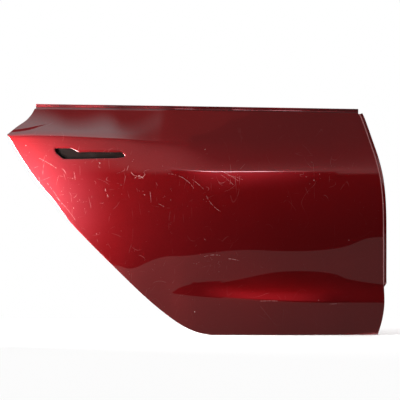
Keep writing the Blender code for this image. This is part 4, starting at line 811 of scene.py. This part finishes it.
def skinPaint():
    finish = Finish("deepRedPaint")
    look = paintLook
    flat = finish.add("ShaderNodeVectorMath", {"operation": "MULTIPLY"}, {0: finish.place, 1: (1.0, 0.0, 1.0)})
    wear = finish.add("ShaderNodeAttribute", {"attribute_name": "wear"}, output="Fac")
    rim = finish.add("ShaderNodeAttribute", {"attribute_name": "rim"}, output="Fac")
    flakes = finish.cells(look["flakes"], "Color")
    glint = finish.add("ShaderNodeSeparateColor", values={0: flakes})
    cloud = finish.noise(5.0).fadeIn(0.3, 0.7)
    mottle = finish.noise(60.0, 3.0)
    base = finish.blend(glint * 0.5 + cloud * 0.25, look["deep"], look["bright"])
    # painted highlight: the paint turns pinker and paler round a spot at the rear edge
    paintedHighlight = 1 - finish.distance(flat, look["paintedHighlightAt"]).fadeIn(*look["paintedHighlightReach"])
    base = finish.blend(paintedHighlight * look["paintedHighlightShare"], base, look["paintedHighlight"])
    along, upward = finish.axis(0), finish.axis(2)
    # painted shade: the belt flange above this line gets a darker red
    flange = (upward + along * look["flangeShadeSlope"]).fadeIn(*look["flangeShadeFrom"])
    base = finish.blend(flange * look["flangeShadeShare"], base, look["flange"])

    lines = hairlines(finish, *look["wornHairs"]) * wear.fadeIn(0.15, 0.6)
    for hair in look["hairs"]:
        lines = lines.most(hairlines(finish, *hair))
    scratch = lines * (look["hairShare"] + wear * look["wornHairShare"])
    arcs = 0.0
    for mark in skinMarks["arcs"]:
        arcs = arcScratch(finish, flat, *mark).most(arcs)
    broken = finish.noise(220.0, 1.0, seed=2.2).fadeIn(0.36, 0.5)
    scratch = scratch.most(arcs * broken * look["arcShare"])
    for x, z, size in skinMarks["chips"]:
        gap = finish.distance(flat, (x, 0.0, z))
        scratch = scratch.most((1 - gap.fadeIn(size * 0.6, size)) * look["chipShare"])
    grains = 1 - finish.cells(190.0, "Distance").fadeIn(0.1, 0.18)
    pick = finish.noise(70.0, 0.0, seed=7.7).fadeIn(0.7, 0.74)
    scratch = scratch.most(grains * pick * (0.15 + wear * 0.6))
    # painted highlight: the marked parts of the handle lip and the bend at the front step turn pale
    scratch = scratch.most(rim.fadeIn(0.15, 0.8) * look["rimHighlightShare"])
    finish.set(
        Base_Color=finish.blend(scratch * 0.75, base, look["scratch"]),
        Metallic=look["metal"] - scratch * 0.6,
        Roughness=look["rough"] + mottle * 0.03 + scratch * 0.2,
        Coat_Weight=1 - scratch * 0.55,
        Coat_Roughness=look["coatRough"],
        Coat_IOR=look["coatBend"],
        Normal=finish.bump(finish.noise(160.0, 1.0), 0.05, 0.0004),
    )
    return finish.material


innerLook = {
    "dust": (0.33, 0.22, 0.2), "hair": (0.55, 0.42, 0.4), "coat": 0.35, "coatRough": 0.12,
    "redInside": {
        "colour": (0.26, 0.01, 0.015), "thin": (0.19, 0.012, 0.017), "metal": 0.45, "rough": 0.38, "dust": 0.35,
    },
    "redBehind": {
        "colour": (0.16, 0.012, 0.016), "thin": (0.1, 0.03, 0.032), "metal": 0.3, "rough": 0.5, "dust": 0.25,
    },
}


# Body colour sprayed inside: duller, with dust lying on it and thinner in clouds.
def insidePaint(name):
    finish = Finish(name)
    look = innerLook[name]
    cloud = finish.noise(7.0, 4.0, 0.55)
    fine = finish.noise(260.0)
    spray = finish.noise(38.0, 5.0, 0.6, seed=4.0)
    base = finish.blend(spray.fadeIn(0.3, 0.75), look["colour"], look["thin"])
    dust = cloud.fadeIn(0.38, 0.85) * (0.5 + fine.fadeIn(0.35, 0.65) * 0.5) * look["dust"]
    hair = hairlines(finish, 30, (1.0, 1.0, 0.4), 12.0, 0.005, 3.0)
    hair = hair.most(hairlines(finish, -35, (0.4, 1.0, 1.0), 16.0, 0.006, 8.0))
    finish.set(
        Base_Color=finish.blend(hair * 0.35, finish.blend(dust, base, innerLook["dust"]), innerLook["hair"]),
        Metallic=look["metal"] - dust * 0.5,
        Roughness=look["rough"] + dust * 0.35 + fine * 0.06,
        Coat_Weight=innerLook["coat"] - dust * 0.3,
        Coat_Roughness=innerLook["coatRough"],
        Normal=finish.bump(finish.noise(140.0) + fine * 0.3, 0.1, 0.0006),
    )
    return finish.material


steelLook = {
    "coat": (0.055, 0.054, 0.056), "spray": (0.12, 0.016, 0.02), "weld": (0.24, 0.17, 0.15),
    "welds": 22.0, "weldSize": 0.055, "metal": 0.35, "rough": 0.5, "coatWeight": 0.15, "coatRough": 0.3,
}


# Dipped steel of the reinforcements: grey coat, red overspray, spot welds in rows.
def dippedSteel():
    finish = Finish("dippedSteel")
    look = steelLook
    size = look["weldSize"]
    spray = finish.noise(6.0, 5.0, 0.65).fadeIn(0.4, 0.66) * 0.75
    fine = finish.noise(300.0)
    welds = finish.cells(look["welds"], "Distance", Randomness=0.35)
    spot = 1 - welds.fadeIn(size, size + 0.02)
    ring = welds.fadeIn(size - 0.005, size + 0.01) * (1 - welds.fadeIn(size + 0.02, size + 0.04))
    base = finish.blend(ring * 0.6, finish.blend(spray, look["coat"], look["spray"]), look["weld"])
    finish.set(
        Base_Color=base,
        Metallic=look["metal"] + spot * 0.2,
        Roughness=look["rough"] + fine * 0.12 - spot * 0.1,
        Coat_Weight=look["coatWeight"],
        Coat_Roughness=look["coatRough"],
        Normal=finish.bump(finish.noise(90.0, 3.0) * 0.4 - spot * 0.8, 0.25, 0.0008),
    )
    return finish.material


zincLook = {
    "dark": (0.46, 0.45, 0.41), "light": (0.66, 0.64, 0.58), "stain": (0.36, 0.3, 0.18),
    "crystals": 420.0, "metal": 0.92, "rough": 0.32,
}


def zincPlate():
    finish = Finish("zincPlate")
    look = zincLook
    tone = finish.add("ShaderNodeSeparateColor", values={0: finish.cells(look["crystals"], "Color")})
    stain = finish.noise(120.0, 4.0).fadeIn(0.5, 0.72)
    base = finish.blend(tone * 0.7, look["dark"], look["light"])
    finish.set(
        Base_Color=finish.blend(stain * 0.6, base, look["stain"]),
        Metallic=look["metal"] - stain * 0.4,
        Roughness=look["rough"] + tone * 0.12 + stain * 0.2,
        Normal=finish.bump(tone, 0.12, 0.0002),
    )
    return finish.material


plasticLook = {
    "black": (0.0045, 0.0024, 0.002), "dust": (0.01, 0.006, 0.0055), "worn": (0.07, 0.045, 0.04),
    "shine": 0.06, "rough": 0.34, "grain": 700.0,
}


def mouldedBlack():
    finish = Finish("mouldedBlack")
    look = plasticLook
    grain = finish.noise(look["grain"])
    dust = finish.noise(45.0, 5.0, 0.6).fadeIn(0.46, 0.74)
    worn = hairlines(finish, 12, (0.3, 1.0, 1.0), 40.0, 0.012, 6.0)
    base = finish.blend(dust * 0.5, look["black"], look["dust"])
    finish.set(
        Specular_IOR_Level=look["shine"],
        Base_Color=finish.blend(worn * 0.3, base, look["worn"]),
        Roughness=look["rough"] + grain * 0.14 + dust * 0.2,
        Normal=finish.bump(grain, 0.2, 0.0003),
    )
    return finish.material


masticLook = {"dark": (0.028, 0.028, 0.03), "light": (0.075, 0.07, 0.066), "rough": 0.75, "lumps": 150.0}


def softMastic():
    finish = Finish("softMastic")
    lumps = finish.noise(masticLook["lumps"], 4.0, 0.6)
    finish.set(
        Base_Color=finish.blend(lumps, masticLook["dark"], masticLook["light"]),
        Roughness=masticLook["rough"] + lumps * 0.2,
        Normal=finish.bump(lumps, 0.6, 0.0012),
    )
    return finish.material


redPaint = skinPaint()
redInside, redBehind = insidePaint("redInside"), insidePaint("redBehind")
steel, zinc, plastic, mastic = dippedSteel(), zincPlate(), mouldedBlack(), softMastic()

skin.data.materials.clear()
for material in (redPaint, redBehind):
    skin.data.materials.append(material)
finishes = {"inner_panel": redInside, "pull_bracket": redInside, "handle_tray": plastic, "outer_skin": redPaint}
for name, node in nodes.items():
    if "nut" in name:
        material = zinc
    elif "mastic" in name:
        material = mastic
    else:
        material = finishes.get(name, steel)
    for slot in node.material_slots:
        slot.material = material
print("finishes given to", len(nodes), "nodes")


studio = {
    "centre": (-0.506, -0.051), "distance": 11.0, "span": 1.2, "sensor": 36.0, "clip": 60.0,
    "along": (-6, 5), "across": (-4.2, 6.0), "height": (-0.4556, 4.2), "ceilingEnd": 1.5,
}
scene = bpy.context.scene
roomRear, roomFront = studio["along"]
roomBack, roomFar = studio["across"]
floorZ, ceilingZ = studio["height"]

# upright boards: rear, front, across, low, high
uprightPlace = {
    "frontBoard": (roomRear, roomFront, roomBack, floorZ, ceilingZ), "redCard": (-0.9, 0.4, -4.15, 0.05, 0.8),
    "creaseStrip": (-1.0, 0.8, -4.1, 0.855, 0.945), "sideCard": (1.1, 3.4, -4.1, 0.2, 2.0),
    "hollowGlow": (-0.53, -0.06, -0.128, -0.35, -0.3125),
}
# level boards: rear, front, near, far, height
levelPlace = {
    "studioFloor": (-30, 29, -5, 30, floorZ), "topCard": (-1.5, -0.5, -0.6, 0.35, 0.42),
    "ceilingBoard": (roomRear, roomFront, roomBack, studio["ceilingEnd"], ceilingZ),
    "darkFloor": (roomRear, roomFront, roomBack, -0.2, floorZ + 0.0004),
}


def plainBoard(name, corners):
    bpy.ops.object.select_all(action="DESELECT")
    bpy.ops.mesh.primitive_plane_add(size=1.0)
    board = bpy.context.object
    board.name = name
    for vert, corner in zip(board.data.vertices, corners):
        vert.co = corner
    return board


def uprightBoard(name):
    rear, front, across, low, high = uprightPlace[name]
    return plainBoard(name, [(along, across, height) for height in (low, high) for along in (rear, front)])


def levelBoard(name):
    rear, front, near, far, height = levelPlace[name]
    return plainBoard(name, [(along, across, height) for across in (near, far) for along in (rear, front)])


# Board along the car with many points, each placed from where it lies and its side.
def shapedBoard(name, shape, placeAt):
    bpy.ops.object.select_all(action="DESELECT")
    bpy.ops.mesh.primitive_grid_add(x_subdivisions=shape["count"], y_subdivisions=1, size=1.0)
    board = bpy.context.object
    board.name = name
    for vert in board.data.vertices:
        along = shape["rear"] + (shape["front"] - shape["rear"]) * (vert.co.x + 0.5)
        vert.co = placeAt(along, vert.co.y > 0)
    return board


# Makes a board glow for reflections only, in tones that depend on the place.
def glow(board, toneAt):
    board.visible_camera = board.visible_shadow = board.visible_diffuse = False
    finish = Finish(board.name + "Glow")
    tone = toneAt(finish, boardLook[board.name])
    light = finish.add("ShaderNodeEmission", values={"Color": tone, "Strength": 1.0})
    plug(finish.tree, finish.output.inputs["Surface"], light)
    board.data.materials.append(finish.material)


# Tones from a table along one axis, between two places.
def tones(axis, low, high):
    def toneAt(finish, stops):
        share = (finish.axis(axis) - low) / (high - low)
        return finish.add("ShaderNodeValToRGB", {"stops": stops}, {0: share}, "Color")
    return toneAt


def oneTone(finish, colour):
    return tones(0, -1.0, 1.0)(finish, ((0.0, colour), (1.0, colour)))


# Tones between two colours, by a share worked out from the place.
def mixedTones(shareAt):
    return lambda finish, colours: finish.blend(shareAt(*map(finish.axis, range(3))), *colours)


floorLook = {"pale": (0.93, 0.93, 0.93), "grain": (0.91, 0.91, 0.91), "rough": 0.9, "white": (1.0, 1.0, 1.0)}

# floor that turns into plain white away from the door, so that only the contact shadow shows
floor = levelBoard("studioFloor")
pale = Finish("paleFloor")
grain = pale.noise(30.0) * 0.3
pale.set(Base_Color=pale.blend(grain, floorLook["pale"], floorLook["grain"]), Roughness=floorLook["rough"])
across = pale.axis(1)
away = across.fadeIn(0.25, 1.6).most((0 - across).fadeIn(0.04, 0.3) * 0.75)
white = pale.add("ShaderNodeEmission", values={"Color": floorLook["white"], "Strength": 1.0})
shaded = Wire(pale.tree, pale.shader.outputs[0])
mixed = pale.add("ShaderNodeMixShader", values={0: away, 1: shaded, 2: white})
plug(pale.tree, pale.output.inputs["Surface"], mixed)
floor.data.materials.append(pale.material)

boardLook = {
    "darkFloor": (0.012, 0.01, 0.01), "tipFlag": (0.02, 0.01, 0.01), "pointFlag": (0.12, 0.015, 0.018),
    "topCard": ((0.34, 0.11, 0.11), (0.7, 1.2, 1.22)), "redCard": ((0.012, 0.01, 0.01), (2.3, 0.16, 0.22)),
    "hollowGlow": ((0.1, 0.013, 0.016), (1.0, 0.07, 0.1)),
    "frontBoard": (
        (0.0, (0.012, 0.01, 0.01)), (0.19, (0.012, 0.01, 0.01)), (0.26, (0.48, 0.28, 0.28)),
        (0.34, (0.44, 0.27, 0.27)), (0.5, (0.13, 0.095, 0.095)), (1.0, (0.13, 0.1, 0.1)),
    ),
    "rearWall": ((0.0, (0.16, 0.15, 0.15)), (1.0, (0.2, 0.19, 0.19))),
    "frontWall": ((0.0, (0.055, 0.05, 0.05)), (1.0, (0.1, 0.1, 0.1))),
    "ceilingBoard": ((0.0, (0.3, 0.11, 0.11)), (1.0, (0.4, 0.14, 0.14))),
    "creaseStrip": (
        (0.0, (0.3, 0.24, 0.25)), (0.14, (0.6, 0.45, 0.48)), (0.18, (3.5, 1.2, 1.4)), (0.24, (13.0, 7.0, 8.0)),
        (0.44, (13.0, 7.0, 8.0)), (0.54, (3.4, 0.9, 1.1)), (0.61, (3.0, 0.8, 0.9)), (0.68, (0.4, 0.1, 0.12)),
        (1.0, (0.3, 0.1, 0.1)),
    ),
    "sideCard": ((0.0, (0.2, 0.18, 0.18)), (0.3, (1.0, 0.95, 0.95)), (1.0, (1.0, 0.95, 0.95))),
    "litFloor": (
        (0.0, (0.5, 0.42, 0.41)), (0.4, (0.25, 0.21, 0.2)), (0.6, (0.185, 0.155, 0.15)),
        (1.0, (0.165, 0.145, 0.14)),
    ),
}

# wall behind the camera: dark band at eye level, lit band over it, greyer towards the ceiling
glow(uprightBoard("frontBoard"), tones(2, floorZ, ceilingZ))
walls = {"rearWall": (roomRear, roomFar, roomBack), "frontWall": (roomFront, roomBack, roomFar)}
for name, (along, first, last) in walls.items():
    corners = [(along, across, height) for height in (floorZ, ceilingZ) for across in (first, last)]
    glow(plainBoard(name, corners), tones(2, floorZ, ceilingZ))
glow(levelBoard("ceilingBoard"), tones(1, roomBack, studio["ceilingEnd"]))

# card over the rear end, its back side slanting and soft, its front end fading out along the door
glow(levelBoard("topCard"), mixedTones(lambda along, across, height: (
    (1 - (across + (along + 0.97) * 0.5).fadeIn(-0.045, 0.035)) * (1 - along.fadeIn(-0.82, -0.64))
)))
# red card before the wall, seen in the hollow above the sill and just under the crease
glow(uprightBoard("redCard"), mixedTones(lambda along, across, height: (
    height.fadeIn(0.06, 0.62) * along.fadeIn(-0.85, -0.45) * (1 - along.fadeIn(-0.45, 0.4))
)))
# small dark flag under the card over the rear end, whose wedge shows at the rear tip
corners = (-1.13, -0.03, 0.412), (-1.0, -0.012, 0.412), (-1.13, -0.004, 0.412), (-0.985, -0.013, 0.412)
glow(plainBoard("tipFlag", corners), oneTone)
# narrow lit strip that the middle crease picks up as a fine line, and a card beside the camera
for name in ("creaseStrip", "sideCard"):
    glow(uprightBoard(name), tones(0, *uprightPlace[name][:2]))

# lit sheet of floor before the door with a wavy far end, and the dark floor beyond it
floorSheet = {
    "end": (
        (-6.0, -2.2), (-1.1, -1.6), (-0.9, -1.37), (-0.7, -1.1), (-0.4, -1.03), (-0.1, -0.95), (0.08, -1.08),
        (0.3, -1.6), (5.0, -2.4),
    ),
    "near": -0.03, "rear": -2.4, "front": 1.2, "count": 220, "rise": 0.0008, "tones": (-1.1, 0.15),
}
glow(levelBoard("darkFloor"), oneTone)
litFloor = shapedBoard("litFloor", floorSheet, lambda along, nearDoor: (
    along, floorSheet["near"] if nearDoor else trace(floorSheet["end"], along), floorZ + floorSheet["rise"]
))
glow(litFloor, tones(0, *floorSheet["tones"]))

# dark flag before the rear end of the hollow, which draws its point out
hollowFlag = {
    "top": (
        (-0.596, -0.348), (-0.583, -0.335), (-0.569, -0.3275), (-0.537, -0.3185), (-0.506, -0.3125),
        (-0.476, -0.3095), (-0.44, -0.3065),
    ),
    "low": -0.36, "away": -0.13, "rear": -0.596, "front": -0.44, "count": 24,
}
pointFlag = shapedBoard("pointFlag", hollowFlag, lambda along, upper: (
    along, hollowFlag["away"], trace(hollowFlag["top"], along) if upper else hollowFlag["low"]
))
glow(pointFlag, oneTone)
# red glow low in the hollow, strongest at its middle
glow(uprightBoard("hollowGlow"), mixedTones(lambda along, across, height: (
    (1 - height.fadeIn(-0.33, -0.3125)) * along.fadeIn(-0.53, -0.36) * (1 - along.fadeIn(-0.27, -0.06))
)))

lamps = {
    "rearSideLamp": {
        "place": (-1.45, -0.52, -0.13), "aim": (-0.93, 0.0, -0.08), "size": (0.28, 0.56), "power": 58.0,
    },
    "backTopLamp": {"place": (-0.5, 3.0, 2.4), "aim": (-0.5, 0.0, -0.1), "size": (2.5, 1.5), "power": 22.0},
}
for name, values in lamps.items():
    light = bpy.data.lights.new(name, "AREA")
    light.shape = "RECTANGLE"
    light.size, light.size_y = values["size"]
    light.energy = values["power"]
    lamp = bpy.data.objects.new(name, light)
    lamp.location = values["place"]
    lamp.rotation_euler = (Vector(values["aim"]) - Vector(values["place"])).to_track_quat("-Z", "Y").to_euler()
    lamp.visible_camera = False
    scene.collection.objects.link(lamp)

world = bpy.data.worlds.new("paleStudio")
scene.world = world
world.use_nodes = True
background = world.node_tree.nodes["Background"]
background.inputs["Strength"].default_value = 1.0
background.inputs["Color"].default_value = (1.0, 1.0, 1.0, 1.0)

cameraData = bpy.data.cameras.new("pictureCamera")
cameraData.sensor_width = studio["sensor"]
cameraData.lens = studio["sensor"] * studio["distance"] / studio["span"]
cameraData.clip_end = studio["clip"]
camera = bpy.data.objects.new("pictureCamera", cameraData)
camera.location = (studio["centre"][0], -studio["distance"], studio["centre"][1])
camera.rotation_euler = (math.radians(90.0), 0.0, 0.0)
scene.collection.objects.link(camera)
scene.camera = camera
scene.view_settings.view_transform = "Standard"
print("studio and camera set")
